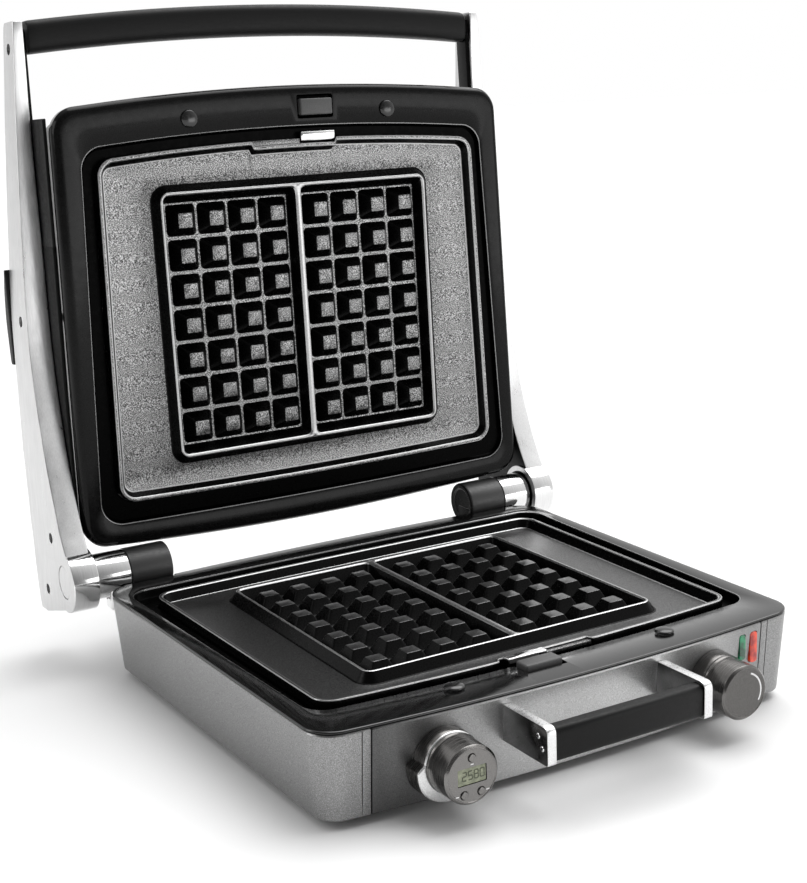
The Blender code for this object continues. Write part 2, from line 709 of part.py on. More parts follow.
def arm(side, hinge):
    """One long arm, lofted from the grip to below the hinge, with its round boss, pin bore and screw holes."""
    name = "left" if side < 0 else "right"
    axis = (side, 0, 0)
    c = ARM_CHAMFER
    rings = []
    for distance, outer, inner, front, back in ARM_STATIONS:
        section = [
            (outer - c, front), (outer, front - c), (outer, back + c), (outer - c, back),
            (inner + c, back), (inner, back + c), (inner, front - c), (inner + c, front),
        ]
        rings.append([Vector((side * x, -distance, -n)) for x, n in section])
    body = skin("arm_" + name, rings, "aluminium", hinge)
    length = ARM_BOSS_X - BARREL_OUTER_X - 0.0006
    boss = turned(
        "add_boss_" + name,
        [(ARM_BOSS_RADIUS - 0.0006, 0.0), (ARM_BOSS_RADIUS, 0.0006), (ARM_BOSS_RADIUS, length - 0.0010),
         (ARM_BOSS_RADIUS - 0.0010, length)],
        (side * (BARREL_OUTER_X + 0.0006), 0, 0), axis, "aluminium", hinge, sides=32,
    )
    join(body, boss)
    holes = [
        ("cap", ARM_CAP_RADIUS + GAP, (side * (ARM_CAP_X - GAP), 0, 0), 24),
        ("pin", PIN_RADIUS + GAP, (side * (ARM_BOSS_X - 0.0300), 0, 0), 18),
    ]
    for index, (distance, n, outer) in enumerate(ARM_SCREWS):
        holes.append(("screw_%d" % index, 0.0036, (side * (outer - 0.0030), -distance, -n), 16))
    for kind, radius, start, sides in holes:
        profile = [(radius, 0.0), (radius, 0.05)]
        hole_name = "cut_arm_%s_%s" % (kind, name)
        cut(body, turned(hole_name, profile, start, axis, "aluminium", hinge, sides=sides))
    cap = [(ARM_CAP_RADIUS, 0.0), (ARM_CAP_RADIUS, 0.0034), (ARM_CAP_RADIUS - 0.0006, 0.0040)]
    turned("arm_cap_" + name, cap, (side * ARM_CAP_X, 0, 0), axis, "aluminium", hinge, sides=28)


def arm_liner(side, hinge):
    """Black liner on the inside of the arm, from the grip down to the lid cover."""
    name = "left" if side < 0 else "right"
    rings = []
    stations = ((0.3560, 0.1695), (0.3300, 0.1697), (0.3000, 0.1701), (0.2400, 0.1711), (0.2200, 0.1714))
    for distance, outer in stations:
        near = outer - 0.0022
        section = ((outer, 0.0375), (outer, 0.0520), (near, 0.0510), (near, 0.0385))
        rings.append([Vector((side * x, -distance, z)) for x, z in section])
    skin("arm_liner_" + name, rings, "black_plastic", hinge)


def grip(hinge):
    """Bowed black bar between the arms."""
    rings = []
    half = 0.1664
    for step in range(11):
        x = -half + 2 * half * step / 10
        lift = GRIP_LIFT * (1 - (x / half) ** 2)
        middle = GRIP_DISTANCE + lift
        ring = []
        for corner in range(14):
            turn = 2 * math.pi * corner / 14
            across = 0.0108 * math.copysign(abs(math.cos(turn)) ** 0.6, math.cos(turn))
            deep = 0.0098 * math.copysign(abs(math.sin(turn)) ** 0.6, math.sin(turn))
            ring.append(Vector((x, -(middle + across), 0.0446 + deep)))
        rings.append(ring)
    skin("handle_grip", rings, "soft_black", hinge)


def lid_housing(hinge):
    """Bezel, side frame and domed cover, each nested in the next, modelled closed."""
    skin(
        "lid_bezel",
        [
            LID_EDGE.inset(0.0040).ring(LID_BEZEL_TOP), LID_EDGE.inset(0.0006).ring(LID_BEZEL_TOP),
            LID_EDGE.ring(LID_FACE + 0.0040), LID_EDGE.inset(0.0010).ring(LID_FACE + 0.0012),
            LID_EDGE.inset(0.0030).ring(LID_FACE),
            LID_OPENING.inset(-0.0006).ring(LID_FACE), LID_OPENING.ring(LID_FACE + 0.0008),
            LID_OPENING.inset(0.0010).ring(0.0048), shifted(RIM, -HINGE_Y).inset(-0.0010).ring(0.0048),
            shifted(RIM, -HINGE_Y).inset(-0.0010).ring(LID_BEZEL_TOP),
        ],
        "black_plastic", hinge, closed=True,
    )
    frame_edge = LID_EDGE.inset(0.0035)
    skin(
        "lid_side_frame",
        [
            frame_edge.ring(LID_BEZEL_TOP + GAP), frame_edge.inset(0.0008).ring(LID_FRAME_TOP),
            frame_edge.inset(0.0008 + WALL).ring(LID_FRAME_TOP),
            frame_edge.inset(WALL).ring(LID_BEZEL_TOP + GAP),
        ],
        "black_plastic", hinge, closed=True,
    )
    cover_edge = LID_EDGE.inset(0.0062)
    skin(
        "lid_cover",
        [
            cover_edge.inset(0.0146).ring(LID_COVER_TOP - WALL),
            cover_edge.inset(0.0078).ring(LID_COVER_TOP - 0.0036 - WALL),
            cover_edge.inset(0.0016 + WALL).ring(LID_COVER_SHOULDER),
            cover_edge.inset(WALL).ring(LID_FRAME_TOP + GAP),
            cover_edge.ring(LID_FRAME_TOP + GAP), cover_edge.inset(0.0016).ring(LID_COVER_SHOULDER),
            cover_edge.inset(0.0056).ring(LID_COVER_TOP - 0.0036), cover_edge.inset(0.0140).ring(LID_COVER_TOP),
        ],
        "silver_paint", hinge,
    )


# ---------------------------------------------------------------- heating and wiring

def rounded_route(corners, radius, z):
    """A flat route through corners, with a round bend at each."""
    made = [Vector(corners[0])]
    for before, corner, after in zip(corners, corners[1:], corners[2:]):
        arriving = (Vector(corner) - Vector(before)).normalized()
        leaving = (Vector(after) - Vector(corner)).normalized()
        made += fillet_either_way(Vector(corner), arriving, leaving, radius)
    made.append(Vector(corners[-1]))
    return [Vector((point.x, point.y, z)) for point in made]


def fillet_either_way(corner, arriving, leaving, radius):
    """A round corner that may turn left or right."""
    if arriving.cross(leaving) > 0:
        return fillet(corner, arriving, leaving, radius)
    flip = Matrix(((-1, 0), (0, 1)))
    made = fillet(flip @ corner, flip @ arriving, flip @ leaving, radius)
    return [flip @ point for point in made]


def heater(prefix, middle_y, outline, pan_floor, pan_top, element_z, parent):
    """A reflector pan and the bent tubular element in it. Heights may run up or down."""
    up = 1 if pan_top > pan_floor else -1
    pan = skin(
        prefix + "_heat_tray",
        [
            outline.inset(0.0025).ring(pan_floor + up * 0.0012), outline.inset(0.0017).ring(pan_top),
            outline.inset(0.0005).ring(pan_top), outline.inset(0.0010).ring(pan_floor),
        ],
        "pan_metal", parent,
    )
    route = rounded_route(
        [(-0.014, 0.088), (-0.112, 0.088), (-0.112, -0.078), (0.112, -0.078), (0.112, 0.088), (0.014, 0.088)],
        0.022, 0.0,
    )
    route = [Vector((p.x, p.y + middle_y, element_z)) for p in route]
    below = pan_floor - up * 0.0030
    first, last = route[0], route[-1]
    lead = ((0.0050, below), (0.0050, element_z - up * 0.0050), (0.0035, element_z - up * 0.0014))
    start = [Vector((first.x + inward, first.y, z)) for inward, z in lead]
    end = [Vector((last.x - inward, last.y, z)) for inward, z in reversed(lead)]
    tube(prefix + "_element", start + route + end, 0.0028, "element_steel", parent)
    low, high = sorted((pan_floor - up * 0.01, pan_floor + up * 0.0040))
    for side in (-1, 1):
        place = (side * 0.0090, first.y, low)
        profile = [(0.0036, 0.0), (0.0036, high - low)]
        name = "cut_%s_lead_%d" % (prefix, side)
        cut(pan, turned(name, profile, place, (0, 0, 1), "pan_metal", parent, sides=16))


def wiring(shell):
    """Thermal cut-out under the lower pan, terminal block, and the gland where a cord would enter."""
    can = [(0.0085, 0.0), (0.0085, 0.0050), (0.0070, 0.0065)]
    turned("thermal_cutout", can, (0.060, 0.030, 0.0215), (0, 0, 1), "pan_metal", sides=18)
    box("terminal_block", (-0.0300, 0.1130, 0.0095), (0.0200, 0.1290, 0.0215), "soft_black", bevel=0.0006)
    wall_y = BASE.inset(BASE_TAPER * 0.6).back_at(0.075)
    start = (0.075, wall_y - 0.0080, 0.0240)
    cut(shell, turned("cut_gland", [(0.0064, 0.0), (0.0064, 0.02)], start, (0, 1, 0), "black_plastic"))
    turned(
        "cord_gland",
        [(0.0058, 0.0), (0.0058, 0.0100), (0.0088, 0.0104), (0.0088, 0.0125), (0.0060, 0.0150),
         (0.0036, 0.0150), (0.0036, 0.0)],
        start, (0, 1, 0), "rubber", closed=True, sides=18,
    )


def lock_lever(hinge):
    """Black lever on the back edge of the left arm."""
    rings = []
    stations = (
        (0.0, 0.0016, 0.0075), (0.012, 0.0008, 0.0092), (0.030, 0.0004, 0.0100), (0.050, 0.0004, 0.0072),
        (0.064, 0.0006, 0.0026),
    )
    for distance, near, far in stations:
        section = [(-0.1872, near), (-0.1762, near), (-0.1762, far), (-0.1872, far)]
        rings.append([Vector((x, -0.1380 - distance, 0.0655 + depth)) for x, depth in section])
    skin("lock_lever", rings, "soft_black", hinge)


def lid_pivots(hinge):
    """Bolts that carry the lid between the arms."""
    for side in (-1, 1):
        name = "left" if side < 0 else "right"
        start = (side * 0.1500, -0.1690, 0.0440)
        axis = (side, 0, 0)
        room = [(0.0034, 0.0), (0.0034, 0.06)]
        for target in ("arm_" + name, "lid_cover"):
            hole = turned("cut_pivot_%s_%s" % (target, name), room, start, axis, "chrome", hinge)
            cut(bpy.data.objects[target], hole)
        bolt = [(0.0030, 0.0), (0.0030, 0.0362), (0.0022, 0.0368)]
        turned("lid_pivot_" + name, bolt, start, axis, "chrome", hinge, sides=16)


def empty(name, place):
    made = bpy.data.objects.new(name, None)
    bpy.context.scene.collection.objects.link(made)
    made.location = place
    return made


def main():
    for obj in list(bpy.data.objects):
        bpy.data.objects.remove(obj)
    hinge = empty("lid_hinge_axis", (0, HINGE_Y, HINGE_Z))
    hinge.rotation_euler.x = -OPEN_ANGLE
    shell, bezel = base_housing()
    fascia()
    front_block("cut_front")
    lamps()
    timer()
    thermostat()
    lower_handle()
    wiring(shell)
    heater("lower", PLATE_MIDDLE_Y, RIM, 0.0290, 0.0468, 0.0365, None)
    release("base", BASE_RELEASE_X, -0.1338, -0.1125, BEZEL_FACE, GUTTER, 1, bezel, None)
    bumpers(hinge)
    hinge_fixed()
    lower = empty("lower_plate_seat", (0, PLATE_MIDDLE_Y, RIM_TOP))
    waffle_plate("lower_plate", lower)

    lid_housing(hinge)
    heater("upper", PLATE_MIDDLE_Y - HINGE_Y, shifted(RIM, -HINGE_Y), 0.0310, 0.0093, 0.0200, hinge)
    release("lid", LID_RELEASE_X, -0.3035, -0.2765, LID_FACE, 0.0048, -1, bpy.data.objects["lid_bezel"], hinge)
    upper = empty("upper_plate_seat", (0, PLATE_MIDDLE_Y - HINGE_Y, LID_RIM))
    upper.rotation_euler.y = math.pi
    upper.parent = hinge
    waffle_plate("upper_plate", upper)
    for side in (-1, 1):
        arm(side, hinge)
        arm_liner(side, hinge)
    grip(hinge)
    lid_pivots(hinge)
    lock_lever(hinge)
    whole = empty("waffle_maker", (0, BODY_SHIFT_Y, 0))
    for obj in bpy.data.objects:
        if obj.parent is None and obj is not whole:
            obj.parent = whole


main()
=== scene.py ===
"""Looks of the waffle maker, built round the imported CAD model.

Metres, +Z up. Pieces of the base are made in the base's own frame, and pieces of the lid in the
frame of the hinge axis with the lid closed. AT_BASE and AT_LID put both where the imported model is.
"""
import json
import math

import bmesh
import bpy
from mathutils import Matrix, Vector


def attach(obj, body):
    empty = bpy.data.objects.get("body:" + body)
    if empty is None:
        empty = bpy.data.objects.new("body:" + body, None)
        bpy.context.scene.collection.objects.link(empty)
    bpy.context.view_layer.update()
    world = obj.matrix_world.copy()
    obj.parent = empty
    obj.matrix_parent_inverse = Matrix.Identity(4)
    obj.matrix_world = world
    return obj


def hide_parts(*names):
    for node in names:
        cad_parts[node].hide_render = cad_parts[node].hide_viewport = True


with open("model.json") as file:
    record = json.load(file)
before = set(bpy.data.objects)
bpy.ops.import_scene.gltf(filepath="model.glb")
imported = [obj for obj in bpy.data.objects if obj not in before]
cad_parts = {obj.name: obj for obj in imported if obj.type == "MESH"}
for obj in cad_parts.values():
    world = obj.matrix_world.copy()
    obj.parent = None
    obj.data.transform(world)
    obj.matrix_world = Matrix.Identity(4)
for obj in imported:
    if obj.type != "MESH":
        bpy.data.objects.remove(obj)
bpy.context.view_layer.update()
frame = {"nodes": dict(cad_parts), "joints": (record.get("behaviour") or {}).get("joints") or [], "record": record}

SLOTS = {part["node"]: part["material_slot"] for part in frame["record"]["subparts"]}
HINGE_JOINT = next(joint for joint in frame["joints"] if joint["name"] == "lid_hinge")
HANDS = ((-1, "left"), (1, "right"))
FORWARD = (0, -1, 0)
UP = (0, 0, 1)

GAP = 0.0003
WALL = 0.0022
HINGE_Y = 0.162  # hinge axis in the base's own frame
HINGE_Z = 0.062
HINGE = Vector(HINGE_JOINT["pos_m"])
OPEN_ANGLE = math.radians(HINGE_JOINT["range_deg"][0])
AT_BASE = Matrix.Translation((0, HINGE.y - HINGE_Y, 0))
AT_LID = Matrix.Translation(HINGE) @ Matrix.Rotation(OPEN_ANGLE, 4, "X")

BASE_BOTTOM = 0.0052
BASE_TOP = 0.0550
BASE_TAPER = 0.0045
BEZEL_FACE = 0.0572
GUTTER = 0.0512
RIM_TOP = 0.0580
LID_FACE = 0.0012
LID_GUTTER = 0.0048
LID_BEZEL_TOP = 0.0120
LID_FRAME_TOP = 0.0240
LID_COVER_SHOULDER = 0.0440
LID_COVER_TOP = 0.0560
LID_RIM = -0.0019
BARREL_RADIUS = 0.0153
BARREL_BORE = 0.0063
COVER_INNER_X = 0.1193
BARREL_INNER_X = 0.149
BARREL_OUTER_X = 0.1725
ARM_BOSS_X = 0.1905
ARM_BOSS_RADIUS = 0.0205
ARM_CAP_X = 0.1865

PLATE_MIDDLE_Y = 0.0035
PLATE_FLOOR = -0.0065
POCKET_DEPTH = 0.0095
PEG_PITCH = (0.0225, 0.0233)
PEG_COUNT = (4, 7)
PEG_TOP_DROP = 0.0008
PEG_TOP_HALF = 0.0048
PEG_FOOT_HALF = 0.01025
POCKET_MIDDLE_X = 0.05055
GRID_HALF = (PEG_COUNT[0] * PEG_PITCH[0] / 2, PEG_COUNT[1] * PEG_PITCH[1] / 2)
LIP_HALF = (0.0489, 0.0871)
BLOCK_HALF = (0.1010, 0.0887)
BLOCK_FOOT = 0.0042
NOTCH_HALF = 0.0315
NOTCH_DEPTH = 0.0036
RIM_FRONT_REACH = 0.0050  # the cast rim runs out past its seat at the front

KNOB_X = 0.0923
KNOB_Z = 0.0300
KNOB_FACE_Y = -0.1782
KNOB_SEAM_Y = -0.1596
COLLAR_LENGTH = 0.0146
FASCIA_HALF_X = 0.1325
BEHIND_FASCIA_Y = -0.165
FRONT_ROOM = 0.18  # brightness of the room in front of the model


# ---------------------------------------------------------------- materials

def rgba(color):
    """A full colour from a colour, or from one number for a grey."""
    return (*color, 1.0) if isinstance(color, tuple) else (color, color, color, 1.0)


def wire(tree, node, **inputs):
    """Sets a node's inputs: a value is written, and another node's output is linked."""
    for name, value in inputs.items():
        socket = node.inputs[name.replace("_", " ")]
        if isinstance(value, bpy.types.NodeSocket):
            tree.links.new(value, socket)
        else:
            socket.default_value = value
    return node


class Look:
    """A Principled material whose colour, roughness and relief follow patterns.

    A pattern is the scale, detail and stretch of a noise, or only the scale of a field of cells.
    tint is a pattern with colour stops, wear a pattern with two roughnesses, and relief a pattern
    with a strength and a distance.
    """

    def __init__(self, name, color, roughness, metallic, tint, wear=None, relief=None, **sockets):
        self.material = bpy.data.materials.new(name)
        self.material.use_nodes = True
        self.tree = self.material.node_tree
        self.shader = self.tree.nodes["Principled BSDF"]
        self.place = self.add("TexCoord").outputs["Object"]
        self.set(Base_Color=rgba(color), Roughness=roughness, Metallic=metallic, **sockets)
        self.show(self.ramp(self.pattern(*tint[0]), tint[1]))
        if wear:
            self.set(Roughness=self.spread(self.pattern(*wear[0]), *wear[1:]))
        if relief:
            pattern, strength, distance = relief
            bump = self.add("Bump", Strength=strength, Distance=distance, Height=self.pattern(*pattern))
            self.set(Normal=bump.outputs["Normal"])

    def add(self, kind, **inputs):
        return wire(self.tree, self.tree.nodes.new("ShaderNode" + kind), **inputs)

    def set(self, **inputs):
        wire(self.tree, self.shader, **inputs)

    def show(self, color):
        self.color = color
        self.set(Base_Color=color)

    def pattern(self, scale, detail=None, stretch=(1, 1, 1)):
        place = self.add("Mapping", Vector=self.place, Scale=stretch).outputs["Vector"]
        if detail is None:
            return self.add("TexVoronoi", Vector=place, Scale=scale).outputs["Distance"]
        return self.add("TexNoise", Vector=place, Scale=scale, Detail=detail).outputs["Fac"]

    def ramp(self, factor, stops):
        """Colour stops: (place, colour)."""
        node = self.add("ValToRGB", Fac=factor)
        elements = node.color_ramp.elements
        while len(elements) < len(stops):
            elements.new(0.5)
        for element, (place, color) in zip(elements, stops):
            element.position = place
            element.color = rgba(color)
        return node.outputs["Color"]

    def spread(self, factor, low, high, start=0.3, end=0.7):
        node = self.add("MapRange", Value=factor, From_Min=start, From_Max=end, To_Min=low, To_Max=high)
        return node.outputs["Result"]

    def shaded(self, shade):
        """Multiplies the colour by another."""
        mix = self.add("Mix")
        mix.data_type = "RGBA"
        mix.blend_type = "MULTIPLY"
        wire(self.tree, mix, Factor=1.0, A=self.color, B=shade)
        self.show(mix.outputs["Result"])
        return self


def tones(low, high):
    return [(0.3, low), (0.7, high)]


FLAKE = (2200, 3)
FLAKE_RELIEF = (FLAKE, 0.25, 0.00006)
PAINT_WEAR = ((900, 3), 0.30, 0.42)
SPECKLE = (1700, 2)
FINE_SPECKLE = (4200, 2)


def silver_paint():
    tint = (FLAKE, [(0.28, 0.17), (0.5, 0.29), (0.75, 0.52)])
    look = Look("silver_paint", 0.30, 0.34, 0.92, tint, PAINT_WEAR, FLAKE_RELIEF)
    return look.shaded(look.ramp(look.pattern(14, 2), tones(0.93, 1.0)))


def panel_silver_painted_light_and_shade():
    """The front panel's paint: the same flake, lighter as painted light, and darker towards both ends as painted
    shade.
    """
    tint = (FLAKE, [(0.28, 0.40), (0.5, 0.60), (0.75, 0.86)])
    look = Look("panel_silver_painted_light_and_shade", 0.46, 0.34, 0.92, tint, PAINT_WEAR, FLAKE_RELIEF)
    across = look.add("SeparateXYZ", Vector=look.place).outputs["X"]
    # Painted shade: the colour is darkened towards both ends of the panel.
    ends = [(0.0, 0.18), (0.38, 1.0), (0.72, 1.0), (0.95, 0.46)]
    return look.shaded(look.ramp(look.spread(across, 0.0, 1.0, -0.13, 0.13), ends))


def aluminium(name, level):
    """Satin metal with a grain along the arms."""
    grain = (1800, 3, (1, 1, 0.03))
    return Look(name, level, 0.32, 1.0, (grain, tones(level * 0.93, level * 1.07)),
                ((240, 4, (1, 1, 0.2)), 0.27, 0.39), (grain, 0.12, 0.00004))


def edge_metal(name, level):
    """Bright, finely turned metal of cut edges; its copies on the plates' rims and on the frames' chamfers are
    painted highlight.
    """
    grain = (1500, 3)
    return Look(name, level, 0.30, 1.0, (grain, tones(level * 0.85, level * 1.1)),
                (grain, 0.24, 0.40), (grain, 0.10, 0.00004))


def gloss_black(name, specular):
    return Look(name, 0.004, 0.13, 0.0, ((500, 4), tones(0.003, 0.005)),
                ((180, 5), 0.10, 0.19), ((700, 3), 0.03, 0.00004), Specular_IOR_Level=specular)


def satin_black(name, level, specular):
    return Look(name, level, 0.44, 0.0, (FLAKE, tones(level * 0.75, level * 1.25)),
                ((500, 4), 0.38, 0.52), (FLAKE, 0.22, 0.00008), Specular_IOR_Level=specular)


def coat_flat():
    """Speckled non-stick coat on the flats of the plates."""
    tint = (SPECKLE, [(0.36, 0.03), (0.5, 0.19), (0.64, 0.62)])
    look = Look("speckled_coat", 0.30, 0.38, 0.95, tint, (FINE_SPECKLE, 0.30, 0.42), (SPECKLE, 0.30, 0.00010))
    return look.shaded(look.ramp(look.pattern(*FINE_SPECKLE), tones(0.62, 1.0)))


def gunmetal(name, level, stretch=(1, 1, 1)):
    """Slightly warm dark metal."""
    brush = (2600, 2, stretch)
    base, dark, light = [(value * 1.03, value, value * 0.97) for value in (level, level * 0.8, level * 1.2)]
    return Look(name, base, 0.22, 1.0, (brush, tones(dark, light)),
                (brush, 0.18, 0.30), (brush, 0.10, 0.00004))


def lens(name, dark, bright, glow):
    look = Look(name, bright, 0.12, 0.0, ((150, 2), [(0.38, dark), (0.62, bright)]), None,
                ((500, 1, (1, 1, 3)), 0.12, 0.0002),
                Coat_Weight=0.8, Coat_Roughness=0.04, Emission_Strength=glow)
    look.set(Emission_Color=look.color)
    return look


LOOKS = {
    "silver_paint": silver_paint(),
    "panel_silver_painted_light_and_shade": panel_silver_painted_light_and_shade(),
    "dark_silver": Look(
        "shell_silver", 0.20, 0.36, 0.9, (FLAKE, [(0.28, 0.13), (0.5, 0.20), (0.75, 0.32)]),
        ((900, 3), 0.32, 0.44), FLAKE_RELIEF),
    # Painted highlight: a brighter copy of the satin aluminium for the arms' front faces.
    "arm_front_painted_highlight": aluminium("arm_front_painted_highlight", 0.90),
    "aluminium": aluminium("satin_aluminium", 0.585),
    "edge_metal": edge_metal("cut_edge", 0.80),
    # Painted highlight: a bright copy of the coat for the plates' rims, pocket lips and the land between the
    # pockets.
    "coat_edge_painted_highlight": edge_metal("coat_edge_painted_highlight", 0.50),
    # Painted highlight on the frames' chamfers round the plates; the same grey metal makes the lid's band.
    "edge_sheen_and_grey_band": edge_metal("painted_edge_sheen_and_grey_band", 0.30),
    # Dark steel; on the lid's pivot bolts it is painted shade.
    "dark_steel_and_painted_bolt_shade": Look(
        "dark_steel_and_painted_bolt_shade", 0.12, 0.20, 1.0, ((90, 4), tones(0.10, 0.17)),
        ((400, 4), 0.14, 0.28), ((1500, 3), 0.06, 0.00003)),
    "polished_steel": Look(
        "polished_steel", 0.78, 0.10, 1.0, ((2400, 2, (1, 0.02, 0.02)), tones(0.74, 0.83)),
        ((300, 4), 0.08, 0.15), ((2400, 2, (1, 0.02, 0.02)), 0.05, 0.00003)),
    "chrome": Look(
        "bright_chrome", 0.86, 0.10, 1.0, ((60, 3), tones(0.82, 0.88)),
        ((420, 4), 0.07, 0.16), ((1500, 3), 0.04, 0.00003)),
    "black_plastic": gloss_black("gloss_black", 0.13),
    "bezel_black": gloss_black("bezel_black", 0.72),
    # Painted shade, as a darker black: bottoms of the gutters, recesses of the buttons, rooms round the barrels,
    # the gap at the hinges and shaded walls.
    "painted_shade_black": Look(
        "painted_shade_black", 0.0006, 0.30, 0.0, ((600, 3), tones(0.0004, 0.0008)),
        ((300, 4), 0.24, 0.36), ((900, 3), 0.05, 0.00005), Specular_IOR_Level=0.03),
    "soft_black": satin_black("satin_black", 0.006, 0.18),
    "button_grey": satin_black("button_grey", 0.075, 0.5),
    "cover_black": satin_black("cover_black", 0.010, 0.85),
    "rubber": Look(
        "black_rubber", 0.022, 0.75, 0.0, ((900, 4), tones(0.015, 0.030)),
        ((600, 3), 0.6, 0.85), ((1600, 4), 0.3, 0.0001)),
    "gloss_rubber": Look(
        "domed_rubber", 0.010, 0.16, 0.0, ((600, 3), tones(0.007, 0.013)),
        ((300, 4), 0.12, 0.22), ((900, 3), 0.05, 0.00004), Specular_IOR_Level=0.6),
    "non_stick": coat_flat(),
    # Painted reflection: the same coat, darker on the lower plate, where it mirrors the dark lid.
    "coat_low_painted_reflection": Look(
        "speckled_coat_low", 0.09, 0.30, 0.9, (SPECKLE, [(0.34, 0.05), (0.5, 0.09), (0.64, 0.15)]),
        (FINE_SPECKLE, 0.26, 0.38), (SPECKLE, 0.20, 0.00008)),
    # Painted shade: a near-black, smooth copy of the coat on the steep walls of the plates.
    "coat_wall_painted_shade": Look(
        "painted_shade_wall_coat", 0.0010, 0.26, 0.0, ((1200, 3), tones(0.0006, 0.0015)),
        ((700, 3), 0.22, 0.34), ((1100, 3), 0.15, 0.00010), Specular_IOR_Level=0.10),
    "gunmetal": gunmetal("gunmetal_turned", 0.16, (0.03, 1, 0.03)),
    "gunmetal_face": gunmetal("gunmetal_face", 0.12),
    "timer_face": gunmetal("timer_face", 0.20),
    "mark": Look(
        "printed_mark", 0.86, 0.5, 0.0, ((900, 3), tones(0.80, 0.92)), None, ((2000, 2), 0.05, 0.00003)),
    "lcd": Look(
        "display", (0.22, 0.24, 0.15), 0.22, 0.0, ((300, 2), tones((0.16, 0.18, 0.11), (0.30, 0.32, 0.21))),
        None, ((900, 2), 0.03, 0.00003), Coat_Weight=0.6, Coat_Roughness=0.05),
    "ink": Look(
        "display_ink", (0.07, 0.08, 0.04), 0.4, 0.0,
        ((900, 3), tones((0.06, 0.07, 0.04), (0.09, 0.10, 0.06)))),
    "green_lens": lens("green_lens", (0.0, 0.06, 0.025), (0.005, 0.30, 0.12), 0.16),
    "red_lens": lens("red_lens", (0.30, 0.002, 0.0), (0.75, 0.05, 0.01), 0.22),
    "board": Look(
        "circuit_board", (0.02, 0.16, 0.07), 0.45, 0.0,
        ((260,), [(0.2, (0.03, 0.22, 0.09)), (0.45, (0.012, 0.11, 0.05)), (0.5, (0.30, 0.24, 0.10))]),
        None, ((260,), 0.2, 0.0002)),
    "pan_metal": Look(
        "pressed_sheet", 0.56, 0.38, 1.0, ((45, 4), tones(0.48, 0.62)),
        ((300, 4, (1, 0.1, 1)), 0.30, 0.48), ((900, 4, (1, 0.1, 1)), 0.12, 0.00008)),
    "element_steel": Look(
        "heat_tinted_tube", 0.24, 0.42, 0.9,
        ((30, 3), [(0.3, (0.15, 0.13, 0.14)), (0.5, (0.26, 0.22, 0.18)), (0.7, (0.32, 0.30, 0.30))]),
        ((500, 4), 0.35, 0.5), ((1500, 3), 0.2, 0.0001)),
}


# ---------------------------------------------------------------- mesh helpers

def even(low, high, steps):
    return [low + (high - low) * step / steps for step in range(steps + 1)]


def box_in(node, at=AT_BASE):
    """A node's box in a frame: lowest corner, highest corner and middle."""
    back = at.inverted()
    points = [back @ vertex.co for vertex in frame["nodes"][node].data.vertices]
    low = Vector([min(values) for values in zip(*points)])
    high = Vector([max(values) for values in zip(*points)])
    return low, high, (low + high) / 2


def shade(mesh):
    mesh.shade_smooth()
    mesh.set_sharp_from_angle(angle=math.radians(35.0))


def to_object(name, tool, *finishes):
    """Turns a bmesh into an object with its finishes."""
    bmesh.ops.recalc_face_normals(tool, faces=tool.faces)
    mesh = bpy.data.meshes.new(name)
    tool.to_mesh(mesh)
    tool.free()
    shade(mesh)
    for finish in finishes:
        mesh.materials.append(LOOKS[finish].material)
    obj = bpy.data.objects.new(name, mesh)
    bpy.context.scene.collection.objects.link(obj)
    return obj


def bake(obj):
    """Keeps the result of a piece's modifiers as its mesh."""
    graph = bpy.context.evaluated_depsgraph_get()
    mesh = bpy.data.meshes.new_from_object(obj.evaluated_get(graph))
    obj.modifiers.clear()
    obj.data = mesh
    shade(mesh)
    return obj


def bevelled(obj, width, segments=3, angle=40.0):
    """Rounds the sharp edges of a piece."""
    modifier = obj.modifiers.new("round", "BEVEL")
    modifier.width = width
    modifier.segments = segments
    modifier.limit_method = "ANGLE"
    modifier.angle_limit = math.radians(angle)
    modifier.use_clamp_overlap = True
    return bake(obj)


def carve(obj, *cutters, operation="DIFFERENCE"):
    """Cuts solids out of a piece, or joins them to it, and removes the cutters."""
    for cutter in cutters:
        modifier = obj.modifiers.new("carve", "BOOLEAN")
        modifier.operation = operation
        modifier.solver = "EXACT"
        modifier.object = cutter
    bake(obj)
    for cutter in cutters:
        bpy.data.objects.remove(cutter)
    return obj


def two_tone(obj, second, test):
    """Gives the faces that pass a test another finish of their own."""
    obj.data.materials.append(LOOKS[second].material)
    for polygon in obj.data.polygons:
        if test(polygon):
            polygon.material_index = len(obj.data.materials) - 1


def seat(obj, body, *replaced, at=AT_BASE):
    """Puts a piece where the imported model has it, and hangs it on its body."""
    obj.data.transform(at)
    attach(obj, body)
    if replaced:
        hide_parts(*replaced)


def seat_on_lid(obj, *replaced):
    seat(obj, "lid", *replaced, at=AT_LID)


def skin(rings, closed=False, finishes=(0,), caps=(0, -1), tool=None):
    """Quads through rings of points of equal count, with caps on an open end.

    The strips take their finish numbers in turn. The last number goes to the rest and to the caps.
    """
    tool = tool or bmesh.new()
    loops = [[tool.verts.new(point) for point in ring] for ring in rings]
    for number, (low, high) in enumerate(zip(loops, loops[1:] + loops[:closed])):
        for index in range(len(low)):
            after = (index + 1) % len(low)
            face = tool.faces.new((low[index], low[after], high[after], high[index]))
            face.material_index = finishes[min(number, len(finishes) - 1)]
    for cap in () if closed else caps:
        tool.faces.new(loops[cap]).material_index = finishes[-1]
    return tool


def loft(levels, closed=False):
    """Rings at (outline, inset, height, finish number of the strip that follows)."""
    rings = [outline.inset(inset).ring(height) for outline, inset, height, _ in levels]
    return skin(rings, closed, [level[3] for level in levels])


